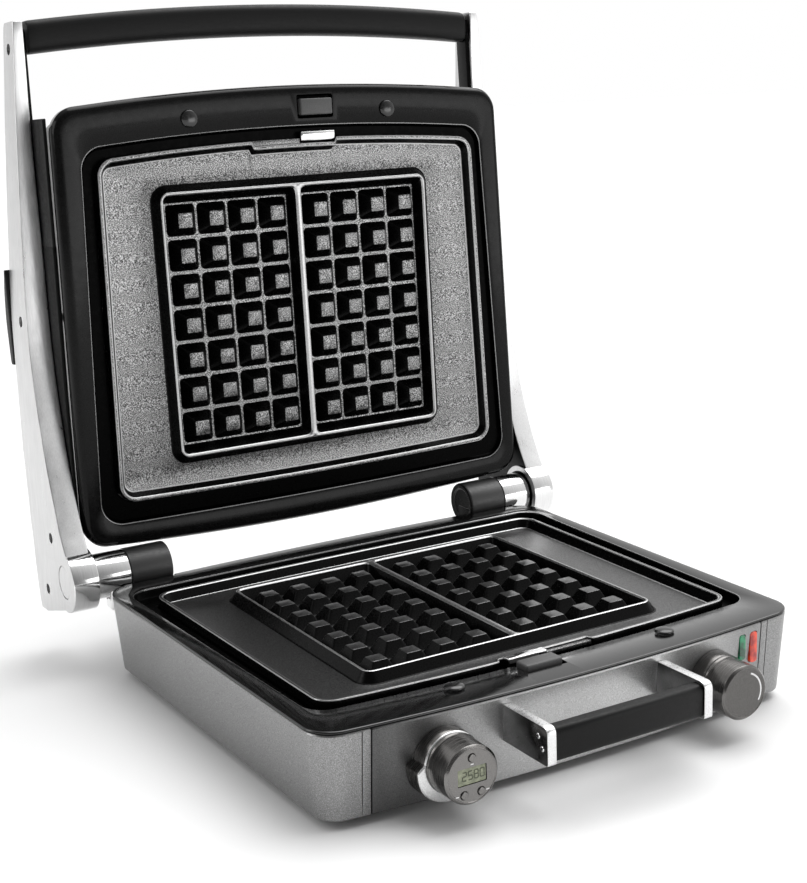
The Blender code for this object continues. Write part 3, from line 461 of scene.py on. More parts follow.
def rounded(corners, steps=4, closed=True):
    """A section through (across, height, radius) corners, each with its own round."""
    made = []
    count = len(corners)
    for index, (across, height, radius) in enumerate(corners):
        here = Vector((across, height))
        if radius <= 0 or (not closed and index in (0, count - 1)):
            made.append(here)
            continue
        before = Vector(corners[index - 1][:2])
        after = Vector(corners[(index + 1) % count][:2])
        start = here + (before - here).normalized() * radius
        end = here + (after - here).normalized() * radius
        made += [start * (1 - t) ** 2 + here * 2 * t * (1 - t) + end * t * t for t in even(0, 1, steps)]
    return made


def block(low, high, tool=None):
    """A box between two opposite corners."""
    tool = tool or bmesh.new()
    low, high = Vector(low), Vector(high)
    place = Matrix.Translation((low + high) / 2) @ Matrix.Diagonal((*(high - low), 1.0))
    bmesh.ops.create_cube(tool, size=1.0, matrix=place)
    return tool


def slab(center, half_x, half_z, depth_y, radius, steps=5):
    """A plate facing -Y with round corners."""
    ring = []
    for sign_x, sign_z, first in ((1, 1, 0), (-1, 1, 90), (-1, -1, 180), (1, -1, 270)):
        for degrees in even(first, first + 90, steps):
            turn = math.radians(degrees)
            x = sign_x * (half_x - radius) + radius * math.cos(turn)
            z = sign_z * (half_z - radius) + radius * math.sin(turn)
            ring.append(Vector(center) + Vector((x, 0, z)))
    return skin([ring, [point + Vector((0, depth_y, 0)) for point in ring]])


def prism(section, low_x, high_x):
    """A solid with one (y, z) section all along X."""
    return skin([[(x, y, z) for y, z in section] for x in (low_x, high_x)])


def spun(name, profile, start, axis, finish=None, sides=64, closed=False):
    """A turned piece: profile is (radius, distance along the axis)."""
    along = Vector(axis).normalized()
    across = along.orthogonal().normalized()
    beside = along.cross(across)
    rings = []
    for radius, distance in profile:
        middle = Vector(start) + along * distance
        turns = [2 * math.pi * step / sides for step in range(sides)]
        reach = max(radius, 0.00001)
        rings.append([middle + (across * math.cos(turn) + beside * math.sin(turn)) * reach for turn in turns])
    return to_object(name, skin(rings, closed), *([finish] if finish else []))


def washer(inner, outer, thickness, soft):
    """Profile of a thin ring with softened outer edges."""
    rim = outer - soft
    return [(inner, 0.0), (rim, 0.0), (outer, 0.0001), (outer, thickness - 0.0001), (rim, thickness),
            (inner, thickness)]


# ---------------------------------------------------------------- outlines

def bow(start, end, height_at, steps, more=()):
    """Points of a bowed edge between start and end, with more places where they are needed."""
    places = [*even(start, end, steps)[1:-1], *more]
    return [Vector((x, height_at(x))) for x in sorted(places, reverse=end < start)]


def fillet(corner, arriving, leaving, radius, steps=12):
    """Points of a round corner between two directions."""
    turn = arriving.angle(leaving)
    start = corner - arriving * radius * math.tan(turn / 2)
    middle = start + Vector((-arriving.y, arriving.x)) * radius
    return [middle + Matrix.Rotation(turn * part, 2) @ (start - middle) for part in even(0, 1, steps)]


class Outline:
    """A plan outline: straight slanting sides, bowed back and front edges and round corners.

    With a notch, the front edge steps back by that much where the catch holds a plate.
    """

    def __init__(self, half_back, half_front, back, front, bow_back, bow_front, radius, notch=None):
        self.half_back = half_back
        self.half_front = half_front
        self.back = back
        self.front = front
        self.bow_back = bow_back
        self.bow_front = bow_front
        self.radius = radius
        self.notch = notch

    def inset(self, distance):
        return Outline(
            self.half_back - distance, self.half_front - distance, self.back - distance,
            self.front + distance, self.bow_back, self.bow_front,
            max(self.radius - distance, 0.0008), self.notch)

    def shifted(self, distance):
        return Outline(
            self.half_back, self.half_front, self.back + distance, self.front + distance,
            self.bow_back, self.bow_front, self.radius, self.notch)

    def front_at(self, x):
        step = min(max((NOTCH_HALF + 0.0012 - abs(x)) / 0.0024, 0.0), 1.0)
        notch = (self.notch or 0.0) * step * step * (3 - 2 * step)
        return self.front - self.bow_front * (1 - (x / self.half_front) ** 2) + notch

    def back_at(self, x):
        return self.back + self.bow_back * (1 - (x / self.half_back) ** 2)

    def corner(self, index):
        """Round corner points: 0 front left, 1 front right, 2 back right, 3 back left."""
        slope_front = 2 * self.bow_front / self.half_front
        slope_back = 2 * self.bow_back / self.half_back
        side = Vector((self.half_back - self.half_front, self.back - self.front)).normalized()
        left = Vector((side.x, -side.y))
        place, arriving, leaving = (
            ((-self.half_front, self.front), left, Vector((1, -slope_front))),
            ((self.half_front, self.front), Vector((1, slope_front)), side),
            ((self.half_back, self.back), side, Vector((-1, slope_back))),
            ((-self.half_back, self.back), Vector((-1, -slope_back)), left),
        )[index]
        return fillet(Vector(place), arriving.normalized(), leaving.normalized(), self.radius)

    def points(self, steps=28):
        """Plan points, counter-clockwise from the front left corner."""
        notch_ends = [side * (NOTCH_HALF + step * 0.0004) for side in (-1, 1) for step in range(-3, 4)]
        made = self.corner(0)
        made += bow(made[-1].x, -made[-1].x, self.front_at, steps, () if self.notch is None else notch_ends)
        made += self.corner(1) + self.corner(2)
        made += bow(made[-1].x, -made[-1].x, self.back_at, steps)
        return made + self.corner(3)

    def open_points(self, gap, steps=28):
        """Plan points that leave the front open between -gap and gap."""
        right = self.corner(1)
        made = [Vector((gap, self.front_at(gap)))] + bow(gap, right[0].x, self.front_at, 3) + right
        made += self.corner(2)
        made += bow(made[-1].x, -made[-1].x, self.back_at, steps)
        made += self.corner(3) + self.corner(0)
        return made + bow(made[-1].x, -gap, self.front_at, 3) + [Vector((-gap, self.front_at(-gap)))]

    def ring(self, z, points=None):
        return [Vector((point.x, point.y, z)) for point in (points or self.points())]


BASE = Outline(0.1695, 0.1635, 0.1474, -0.1448, 0.0064, 0.0092, 0.0190)
OPENING = Outline(0.1600, 0.1505, HINGE_Y - 0.0323, -0.1160, 0.0020, 0.0075, 0.0150)
RIM = Outline(0.1470, 0.1420, HINGE_Y - 0.0462, -0.1040, 0.0022, 0.0064, 0.0120)
LID_EDGE = Outline(0.1730, 0.1676, HINGE_Y - 0.0184, -0.1418, 0.0064, 0.0092, 0.0170).shifted(-HINGE_Y)
LID_OPENING = OPENING.shifted(-HINGE_Y)
LID_RIM_EDGE = RIM.shifted(-HINGE_Y)


# ---------------------------------------------------------------- base housing

def barrel_cutters():
    # The rooms round the barrels leave walls in painted shade.
    profile = [(BARREL_RADIUS + 0.0008, 0.0), (BARREL_RADIUS + 0.0008, 0.0900)]
    return [spun("barrel_room", profile, (side * (COVER_INNER_X - 0.0010), HINGE_Y, HINGE_Z), (side, 0, 0),
                 "painted_shade_black", 48) for side, _ in HANDS]


def housing_wall(name, points_of, finish):
    """A stretch of the tapered silver wall, with a soft lower edge, along points of its outlines."""
    section = rounded([
        (BASE_TAPER, BASE_BOTTOM, 0.0012), (0.0006, BASE_TOP - 0.0008, 0.0), (0.0012, BASE_TOP, 0.0),
        (0.0012 + WALL, BASE_TOP, 0.0003), (BASE_TAPER + WALL, BASE_BOTTOM, 0.0004),
    ])
    rings = []
    for inset, height in section:
        outline = BASE.inset(inset)
        rings.append(outline.ring(height, points_of(outline)))
    return bevelled(to_object(name, skin(list(zip(*rings))), finish), 0.0004, 2, 60)


def base_housing():
    gap = FASCIA_HALF_X + 0.0007
    shell = housing_wall("base_housing", lambda outline: outline.open_points(gap), "silver_paint")
    tool = bmesh.new()
    for side, _ in HANDS:
        x = side * (gap + 0.0050)
        front = BASE.front_at(x)
        block((x - 0.0003, front - 0.002, -0.01), (x + 0.0003, front + 0.0050, 0.07), tool)
    floor = BASE_TAPER + 0.0010
    levels = ((floor, 0.0), (floor, BASE_BOTTOM), (0.0016, BASE_TOP), (0.0016, 0.08))
    groove_depth = to_object("groove_depth", skin([BASE.inset(inset).ring(z) for inset, z in levels]))
    carve(shell, *barrel_cutters(), carve(to_object("grooves", tool), groove_depth))
    seat(shell, "base", "base_shell")


def front_panel():
    places = even(-FASCIA_HALF_X, FASCIA_HALF_X, 60)
    # Painted light and shade: the panel takes a lighter copy of the silver, darkened towards its ends.
    panel = housing_wall(
        "front_panel", lambda outline: [Vector((x, outline.front_at(x))) for x in places], "panel_silver_painted_light_and_shade")
    cutters = []
    for node in ("lens_green", "lens_red"):
        low, high, middle = box_in(node)
        half = (high - low) / 2
        slot = slab((middle.x, -0.17, middle.z), half.x + GAP, half.z + GAP, 0.04, half.x * 0.7)
        cutters.append(to_object("slot", slot))
    for side, _ in HANDS:
        start = (side * KNOB_X, BEHIND_FASCIA_Y, KNOB_Z)
        cutters.append(spun("shaft", [(0.006, 0), (0.006, 0.03)], start, (0, 1, 0)))
    carve(panel, *cutters)
    seat(panel, "base", "front_fascia")


def gutter_levels(opening, rim, face, bottom):
    """The step from a frame's face down to the gutter round the plate, with a narrow chamfer of painted highlight
    and the gutter in painted shade.
    """
    down = 1 if bottom > face else -1
    return [
        (opening, -0.0007, face, 2), (opening, -0.0002, face + down * 0.0003, 0),
        (opening, 0.0, face + down * 0.0010, 1), (opening, 0.0008, bottom - down * 0.0008, 1),
        (opening, 0.0016, bottom, 1), (rim, -0.0014, bottom, 1), (rim, -0.0010, bottom + down * 0.0004, 1),
    ]


def release_room(node, at, face, up):
    """The recess round a release button, its walls in painted shade."""
    low, high, _ = box_in(node, at)
    room = block((low.x - 0.0016, low.y - 0.0028, face - up * 0.0042),
                 (high.x + 0.0016, high.y + 0.0022, face + up * 0.01))
    return bevelled(to_object("room", room, "painted_shade_black"), 0.0014)


def base_frame():
    """Black top frame with a soft outer edge, the step round the plate and the room of the release. The faces
    under its edge, the gutter and the room are painted shade, and the chamfer round the opening is painted
    highlight.
    """
    seam = BASE_TOP + GAP
    edge = rounded([
        (0.0040, seam, 0), (0.0013, seam, 0.0003), (0.0013, BASE_TOP + 0.0009, 0.0002),
        (0.0005, BASE_TOP + 0.0010, 0.0002), (0.0007, BEZEL_FACE, 0.0008), (0.0060, BEZEL_FACE, 0),
    ], 3, False)
    levels = [(BASE, 0.0050, 0.0440, 1), (BASE, 0.0040, seam, 1)]
    levels += [(BASE, inset, height, 1 if height < BASE_TOP + 0.0010 else 0) for inset, height in edge[1:-1]]
    levels += gutter_levels(OPENING, RIM, BEZEL_FACE, GUTTER) + [(RIM, -0.0010, 0.0440, 1)]
    bezel = to_object("base_frame", loft(levels, closed=True), "bezel_black", "painted_shade_black", "edge_sheen_and_grey_band")
    carve(bezel, release_room("base_release_button", AT_BASE, BEZEL_FACE, 1), *barrel_cutters())
    seat(bezel, "base", "base_bezel")


def underside():
    taper = BASE.inset(BASE_TAPER + WALL + GAP)
    low, high, _ = box_in("bottom_cover")
    rings = [taper.inset(inset).ring(z) for inset, z in (
        (0.0, high.z), (0.0, low.z + 0.0004), (0.0004, low.z), (0.0080, low.z),
        (0.0090, low.z + 0.0008), (0.0200, low.z + 0.0008))]
    vents = bmesh.new()
    for y in (-0.045, 0.045):
        for x in even(-0.044, 0.044, 8):
            block((x - 0.0016, y - 0.016, 0.0), (x + 0.0016, y + 0.016, 0.02), vents)
    cover = carve(to_object("underside", skin(rings), "soft_black"), to_object("vents", vents))
    seat(cover, "base", "bottom_cover")


def feet():
    for end in ("front", "rear"):
        for _, hand in HANDS:
            node = "foot_%s_%s" % (end, hand)
            _, high, middle = box_in(node)
            profile = [(0.0050, 0.0006), (0.0062, 0.0), (0.0080, 0.0003), (0.0088, 0.0012), (0.0090, 0.0030),
                       (0.0095, high.z)]
            start = (middle.x, middle.y, 0)
            seat(spun("pad_%s_%s" % (end, hand), profile, start, UP, "rubber", 40), "base", node)


# ---------------------------------------------------------------- front controls

def panel_trim():
    """A solid behind the panel's outer face, which trims what stands against it."""
    rings = []
    for inset, height in ((BASE_TAPER, 0.0), (BASE_TAPER, BASE_BOTTOM), (0.0006, BASE_TOP), (0.0006, 0.09)):
        outline = BASE.inset(inset)
        outer = [(x, outline.front_at(x) - GAP, height) for x in even(-0.150, 0.150, 40)]
        rings.append(outer + [(0.150, -0.09, height), (-0.150, -0.09, height)])
    return to_object("trim", skin(rings))


def node_slab(node, radius):
    """A round-cornered plate as large as a node's box."""
    low, high, middle = box_in(node)
    half = (high - low) / 2
    return slab((middle.x, low.y, middle.z), half.x, half.z, high.y - low.y, radius)


def lamps():
    for node, finish in (("lens_green", "green_lens"), ("lens_red", "red_lens")):
        low, high, _ = box_in(node)
        glass = to_object(node + "_cover", node_slab(node, (high.x - low.x) / 2 * 0.7), finish)
        seat(bevelled(glass, 0.0006, 3, 60), "base", node)


def cam_radius(degrees):
    """Radius of the timer's boss: round, with a lug that starts sharply at the left and fades out below."""
    round_part = 0.0173
    lug = 0.0052
    if degrees < 172 or degrees > 325:
        return round_part
    if degrees < 182:
        return round_part + lug * 0.75 * (degrees - 172) / 10
    if degrees < 215:
        return round_part + lug * (0.75 + 0.25 * (degrees - 182) / 33)
    return round_part + lug * math.cos(math.radians((degrees - 215) / 110 * 90)) ** 0.8


def timer_collar():
    """The timer's boss: an extruded cam with a light front rim."""
    rings = []
    for shrink, out in ((0.0, COLLAR_LENGTH), (0.0, 0.0008), (0.0004, 0.0002), (0.0009, 0.0)):
        ring = []
        for step in range(144):
            degrees = 360 * step / 144
            turn = math.radians(degrees)
            radius = cam_radius(degrees) - shrink
            across, up = math.cos(turn) * radius, math.sin(turn) * radius
            ring.append((across - KNOB_X, KNOB_SEAM_Y + out, KNOB_Z + up))
        rings.append(ring)
    boss = to_object("timer_collar", skin(rings), "gunmetal")
    two_tone(boss, "edge_metal", lambda face: face.normal.y < -0.3 and face.center.y < KNOB_SEAM_Y + 0.002)
    seat(carve(boss, panel_trim()), "base", "timer_boss")


def knob(name, side, face_drop):
    """A knob's cap: a cylinder with a thin raised rim round its face."""
    length = KNOB_SEAM_Y - KNOB_FACE_Y
    edge = rounded([
        (0.0100, GAP * 2, 0), (0.0170, GAP * 2, 0.0004), (0.0165, 0.0022, 0.0006),
        (0.0163, length - 0.0015, 0.0002), (0.0149, length, 0.0002), (0.0145, length, 0.0001),
        (0.0143, length - face_drop, 0.0001), (0.0, length - face_drop, 0),
    ], 4, False)
    return spun(name, edge, (side * KNOB_X, KNOB_SEAM_Y, KNOB_Z), FORWARD, "gunmetal", 96)


SEGMENTS = {"0": "abcdef", "2": "abged", "5": "afgcd", "8": "abcdefg"}
STROKES = {  # place across, place up, and whether it is level
    "a": (0, 1, True), "g": (0, 0, True), "d": (0, -1, True),
    "b": (1, 0.5, False), "c": (1, -0.5, False), "e": (-1, -0.5, False), "f": (-1, 0.5, False),
}


def digits(text, center, height):
    """Seven-segment numbers as thin raised strokes."""
    tool = bmesh.new()
    half_width = height * 0.26
    thick = height * 0.075
    for index, letter in enumerate(text):
        middle_x = center[0] + (index - (len(text) - 1) / 2) * height * 0.78
        for stroke in SEGMENTS[letter]:
            across, up, level = STROKES[stroke]
            x = middle_x + across * half_width
            z = center[2] + up * height / 2
            half_x, half_z = (half_width * 0.9, thick) if level else (thick, height / 4 * 0.9)
            block((x - half_x, center[1] - 0.00008, z - half_z), (x + half_x, center[1], z + half_z), tool)
    return tool


def timer():
    timer_collar()
    body = knob("timer_housing", -1, 0.0003)
    window = slab((-KNOB_X, KNOB_FACE_Y - 0.001, KNOB_Z), 0.0088, 0.0047, 0.0040, 0.0006)
    cutters = [to_object("window", window)]
    for name in ("top", "left", "right"):
        node = "timer_button_" + name
        low, high, middle = box_in(node)
        start = (middle.x, KNOB_FACE_Y + 0.0030, middle.z)
        cutters.append(spun("well", [(0.0025, 0), (0.0025, 0.0036)], start, FORWARD, None, 40))
        length = high.y - low.y
        profile = [(0.0021, 0), (0.0021, length - 0.0004), (0.0019, length - 0.0001), (0.0014, length),
                   (0.0004, length)]
        start = (middle.x, high.y, middle.z)
        seat(spun("push_button_" + name, profile, start, FORWARD, "timer_face", 40), node, node)
    carve(body, *cutters)
    two_tone(body, "timer_face", lambda face: face.normal.y < -0.45)
    seat(body, "base", "timer_body")
    seat(to_object("display", node_slab("timer_window", 0.0005), "lcd"), "base", "timer_window")
    low, _, _ = box_in("timer_window")
    number = digits("2580", (0.0009 - KNOB_X, low.y, KNOB_Z + 0.0002), 0.0046)
    seat(to_object("display_digits", number, "ink"), "base")
    for name, dx, dz, half_x in (
        ("top", 0.0, 0.0062, 0.0009), ("left", -0.0094, -0.0098, 0.0010), ("right", 0.0092, -0.0098, 0.0011),
    ):
        place = (dx - KNOB_X, KNOB_FACE_Y + 0.00024, KNOB_Z + dz)
        seat(to_object("timer_mark_" + name, slab(place, half_x, 0.0003, 0.0002, 0.0002, 2), "mark"), "base")


def thermostat():
    """The knob on its straight collar, with a thin bright seam ring and a printed arc."""
    profile = [(0.0176, 0.0), (0.0174, 0.0055), (0.0172, 0.0082), (0.0170, 0.0136), (0.0168, 0.0143),
               (0.0164, COLLAR_LENGTH), (0.0050, COLLAR_LENGTH), (0.0050, 0.0)]
    root = (KNOB_X, KNOB_SEAM_Y + COLLAR_LENGTH, KNOB_Z)
    boss = spun("thermostat_collar", profile, root, FORWARD, "gunmetal", 96, closed=True)
    seat(carve(boss, panel_trim()), "base", "thermostat_boss")
    profile = washer(0.0140, 0.0167, 0.0004, 0.0003)
    start = (KNOB_X, KNOB_SEAM_Y + 0.0001, KNOB_Z)
    seat(spun("thermostat_collar_seam", profile, start, FORWARD, "chrome", 96, closed=True), "base")
    cap = knob("thermostat_cap", 1, 0.0002)
    two_tone(cap, "gunmetal_face", lambda face: face.normal.y < -0.9)
    seat(cap, "thermostat_knob", "thermostat_knob")
    rings = []
    for degrees in even(20, 122, 40):
        turn = math.radians(degrees)
        corners = ((0.0113, -1), (0.0123, -1), (0.0123, 1), (0.0113, 1))
        rings.append([(KNOB_X + math.sin(turn) * radius, KNOB_FACE_Y + 0.0002 + side * 0.00008,
                       KNOB_Z + math.cos(turn) * radius) for radius, side in corners])
    seat(to_object("thermostat_arc", skin(rings), "mark"), "thermostat_knob")


# ---------------------------------------------------------------- lower handle

def screw(name, start, side, radius, body, at=AT_BASE, finish="chrome"):
    """A pan-head screw along X with a crossed recess."""
    dome = ((0.98, 0.0), (1.0, 0.0002), (0.9, 0.0004), (0.5, 0.0006), (0.1, 0.00065))
    head = [(radius * size, height) for size, height in dome]
    x, y, z = start
    cutters = []
    for half_y, half_z in ((radius * 0.62, radius * 0.16), (radius * 0.16, radius * 0.62)):
        slot = block((x + side * 0.0002, y - half_y, z - half_z), (x + side * 0.0020, y + half_y, z + half_z))
        cutters.append(to_object("recess", slot))
    seat(carve(spun(name, head, start, (side, 0, 0), finish, 32), *cutters), body, at=at)


def lower_handle():
    for side, hand in HANDS:
        node = "handle_plate_" + hand
        low, high, middle = box_in(node)
        back = high.y + 0.002
        corners = [(low.y, low.z, 0.0020), (back, low.z, 0), (back, high.z, 0), (low.y, high.z, 0.0045)]
        plate = to_object("handle_side_" + hand, prism(rounded(corners, 6), low.x, high.x), "edge_metal")
        bevelled(carve(plate, panel_trim()), 0.0003, 2, 50)
        two_tone(plate, "dark_steel_and_painted_bolt_shade", lambda face: abs(face.normal.x) > 0.95)
        seat(plate, "base", node)
        outer = low.x if side < 0 else high.x
        for index, (dy, dz) in enumerate(((0.0085, 0.0042), (0.0050, -0.0020))):
            start = (outer - side * 0.0002, low.y + dy, middle.z + dz)
            screw("handle_screw_%s_%d" % (hand, index), start, side, 0.0016, "base")
    low, high, middle = box_in("handle_bar")
    half = (high - low) / 2
    section = rounded([(-half.y, -half.z, 0.0034), (half.y, -half.z, 0.0034),
                       (half.y, half.z, 0.0042), (-half.y, half.z, 0.0042)], 8)
    rings = []
    for x, size in ((low.x, 0.97), (low.x + 0.0004, 1.0), (high.x - 0.0004, 1.0), (high.x, 0.97)):
        rings.append([(x, middle.y + y * size, middle.z + z * size) for y, z in section])
    seat(to_object("handle_grip_bar", skin(rings), "soft_black"), "base", "handle_bar")


# ---------------------------------------------------------------- waffle plates

# Places along a peg's side from -1 to 1, closer together towards its corners.
EDGE_STATIONS = (-1.0, -0.93, -0.85, -0.74, -0.4, 0.0, 0.4, 0.74, 0.85, 0.93)


def centered(count):
    return [index - (count - 1) / 2 for index in range(count)]


def unit_loop(columns=1, rows=1):
    """Places round a square from -1 to 1, at the stations of so many pegs along its sides."""
    along, up = [[(peg + place / 2) / (count / 2) for peg in centered(count) for place in EDGE_STATIONS]
                 for count in (columns, rows)]
    loop = [(u, -1.0) for u in along] + [(1.0, v) for v in up]
    return loop + [(-u, 1.0) for u in along] + [(-1.0, -v) for v in up]


def round_square(loop, middle, z, half_x, half_y, radius):
    """A round-cornered rectangle at the places of a unit loop."""
    made = []
    for u, v in loop:
        point = Vector((u * half_x, v * half_y))
        flat_x, flat_y = half_x - radius, half_y - radius
        core = Vector((max(-flat_x, min(flat_x, point.x)), max(-flat_y, min(flat_y, point.y))))
        away = point - core
        if abs(away.x) > 1e-9 and abs(away.y) > 1e-9:
            point = core + away.normalized() * radius
        made.append((middle[0] + point.x, middle[1] + point.y, z))
    return made


def peg(tool, middle, floor, top):
    """One peg with its share of the pocket floor."""
    loop = unit_loop()
    rise = 0.0006
    lean = rise * (PEG_FOOT_HALF - PEG_TOP_HALF) / (top - floor)
    rings = [round_square(loop, middle, floor, PEG_PITCH[0] / 2, PEG_PITCH[1] / 2, 0.0)]
    for z, half, radius in (
        (floor, PEG_FOOT_HALF + 0.0003, 0.0028), (floor + rise * 0.4, PEG_FOOT_HALF, 0.0026),
        (floor + rise, PEG_FOOT_HALF - lean, 0.0026), (top - 0.0005, PEG_TOP_HALF + 0.0003, 0.0007),
        (top - 0.00015, PEG_TOP_HALF + 0.0001, 0.0007), (top, PEG_TOP_HALF - 0.00025, 0.0007),
    ):
        rings.append(round_square(loop, middle, z, half, half, radius))
    skin(rings, finishes=(0, 1, 1, 1, 1, 0), caps=(-1,), tool=tool)


def plate_mesh():
    """Both pockets of pegs of a cast plate facing +Z, with the plate's rim at z = 0."""
    floor = -POCKET_DEPTH
    tool = bmesh.new()
    border = unit_loop(*PEG_COUNT)
    for middle_x in (-POCKET_MIDDLE_X, POCKET_MIDDLE_X):
        for column in centered(PEG_COUNT[0]):
            for row in centered(PEG_COUNT[1]):
                peg(tool, (middle_x + column * PEG_PITCH[0], row * PEG_PITCH[1]), floor, -PEG_TOP_DROP)
        rings = []
        for z, half, out_x, out_y, radius in (
            (floor, GRID_HALF, 0.0, 0.0, 0.0), (floor + 0.0003, GRID_HALF, 0.0005, 0.0006, 0.0012),
            (floor + 0.0012, GRID_HALF, 0.0009, 0.0012, 0.0020),
            (-0.00096, LIP_HALF, -0.0005, -0.0006, 0.0040),
            (-0.0003, LIP_HALF, 0.0, 0.0, 0.0043), (0.0, LIP_HALF, 0.0005, 0.0005, 0.0046),
        ):
            rings.append(round_square(border, (middle_x, 0), z, half[0] + out_x, half[1] + out_y, radius))
        skin(rings, finishes=(1, 1, 1, 2, 2), caps=(), tool=tool)
    bmesh.ops.remove_doubles(tool, verts=tool.verts, dist=0.00002)
    return tool


def dish_mesh():
    """The cast dish with its rim and raised block, open at the top of the block."""
    rim = RIM.shifted(-PLATE_MIDDLE_Y)
    rim.front -= RIM_FRONT_REACH
    rim.notch = NOTCH_DEPTH
    field = Outline(BLOCK_HALF[0], BLOCK_HALF[0], BLOCK_HALF[1], -BLOCK_HALF[1], 0, 0, 0.0062, notch=0.0)
    under = PLATE_FLOOR - 0.0040
    outer = loft([
        (field, 0.0040, -POCKET_DEPTH - 0.0030, 1), (field, 0.0010 - BLOCK_FOOT, under, 1),
        (rim, 0.0010, under, 1), (rim, 0.0002, under + 0.0004, 1), (rim, 0.0, under + 0.0010, 1),
        (rim, 0.0, -0.0006, 2), (rim, 0.0003, -0.0001, 2), (rim, 0.0007, 0.0, 0),
        (rim, 0.0017, 0.0, 2), (rim, 0.0022, -0.0002, 2), (rim, 0.0027, -0.0007, 1),
        (rim, 0.0047, PLATE_FLOOR + 0.0010, 1), (rim, 0.0052, PLATE_FLOOR + 0.0003, 2),
        (rim, 0.0060, PLATE_FLOOR, 0),
        (field, -BLOCK_FOOT - 0.0008, PLATE_FLOOR, 1), (field, -BLOCK_FOOT + 0.0002, PLATE_FLOOR + 0.0003, 1),
        (field, -BLOCK_FOOT + 0.0007, PLATE_FLOOR + 0.0010, 1), (field, -0.0005, -0.0009, 1),
        (field, -0.0001, -0.0003, 2), (field, 0.0004, 0.0, 2),
    ])
    top = max(outer.faces, key=lambda face: (len(face.verts), face.calc_center_median().z))
    bmesh.ops.delete(outer, geom=[top], context="FACES_ONLY")
    return outer


def waffle_plate(node, coat):
    """A cast plate: the dish and its pockets, with the flat land between them filled in."""
    # Painted light and shade: the plate's walls take a darker copy of its coat, and its rims, lips and lands a
    # brighter one.
    finishes = (coat, "coat_wall_painted_shade", "coat_edge_painted_highlight")
    dish = to_object(node + "_cast", dish_mesh(), *finishes)
    pockets = to_object(node + "_pockets", plate_mesh(), *finishes)
    tool = bmesh.new()
    tool.from_mesh(dish.data)
    tool.from_mesh(pockets.data)
    bmesh.ops.remove_doubles(tool, verts=tool.verts, dist=0.000005)
    open_edges = [edge for edge in tool.edges if edge.is_boundary]
    filled = bmesh.ops.triangle_fill(tool, edges=open_edges, use_beauty=True, use_dissolve=False, normal=UP)
    for face in filled["geom"]:
        if isinstance(face, bmesh.types.BMFace):
            face.material_index = 2
    bmesh.ops.recalc_face_normals(tool, faces=tool.faces)
    tool.to_mesh(dish.data)
    tool.free()
    shade(dish.data)
    bpy.data.objects.remove(pockets)
    return dish


def notch_ledge(node, at, catch):
    """The low coated ledge in the notch of a plate's rim, beside the catch."""
    low, high, _ = box_in(catch, at)
    front = RIM.front - RIM.bow_front - PLATE_MIDDLE_Y - RIM_FRONT_REACH
    reach = (-NOTCH_HALF - 0.0002, low.x - 0.0012)
    if low.x + high.x <= 0:
        reach = (high.x + 0.0012, NOTCH_HALF + 0.0002)
    ledge = block((reach[0], front + 0.0003, -0.0036), (reach[1], front + NOTCH_DEPTH + 0.0004, -0.0013))
    seat(bevelled(to_object(node + "_ledge", ledge, "non_stick"), 0.0003, 2), node, at=at)


def waffle_plates():
    turned_over = Matrix.Rotation(math.pi, 4, "Y")
    lower_at = AT_BASE @ Matrix.Translation((0, PLATE_MIDDLE_Y, RIM_TOP))
    upper_at = AT_LID @ Matrix.Translation((0, PLATE_MIDDLE_Y - HINGE_Y, LID_RIM)) @ turned_over
    for node, at, catch, coat in (
        ("lower_plate", lower_at, "base_catch", "coat_low_painted_reflection"),
        ("upper_plate", upper_at, "lid_catch", "non_stick"),
    ):
        seat(waffle_plate(node, coat), node, node, at=at)
        notch_ledge(node, at, catch)


# ---------------------------------------------------------------- releases and bumpers

def releases():
    """Push buttons, and the bright catches that they draw back."""
    for prefix, at, up in (("base", AT_BASE, 1), ("lid", AT_LID, -1)):
        body = prefix + "_release"
        low, high, _ = box_in(body + "_button", at)
        button = bevelled(to_object(prefix + "_push", block(low, high), "button_grey"), 0.0011, 4)
        seat(button, body, body + "_button", at=at)
        low, high, _ = box_in(prefix + "_catch", at)
        reach = high.y + 0.0016  # towards the plate, into the notch of its rim
        outer, inner = (low.z, high.z) if up > 0 else (high.z, low.z)
        section = [
            (low.y, outer), (low.y, inner), (high.y, inner), (reach, inner - up * 0.0007),
            (reach, inner - up * 0.0034), (high.y, inner - up * 0.0034), (high.y, outer),
        ]
        catch = bevelled(to_object(prefix + "_latch", prism(section, low.x, high.x), "chrome"), 0.0006, 3)
        seat(catch, body, prefix + "_catch", at=at)


def bumpers():
    """Domed rest buttons on the base and on the lid."""
    radius = 0.0058
    shoulder = 0.0007
    for place, at, up in (("base", AT_BASE, 1), ("lid", AT_LID, -1)):
        for _, hand in HANDS:
            node = "bumper_%s_%s" % (place, hand)
            low, high, middle = box_in(node, at)
            profile = [(radius - 0.0004, 0.0), (radius, 0.0003), (radius, shoulder)]
            for degrees in even(15, 90, 6):
                turn = math.radians(degrees)
                rise = (high.z - low.z - shoulder) * math.sin(turn)
                profile.append((radius * math.cos(turn), shoulder + rise))
            start = (middle.x, middle.y, low.z if up > 0 else high.z)
            button = spun("rest_%s_%s" % (place, hand), profile, start, (0, 0, up), "gloss_rubber", 48)
            seat(button, place, node, at=at)


# ---------------------------------------------------------------- hinge

def on_hinge(x):
    return (x, HINGE_Y, HINGE_Z)


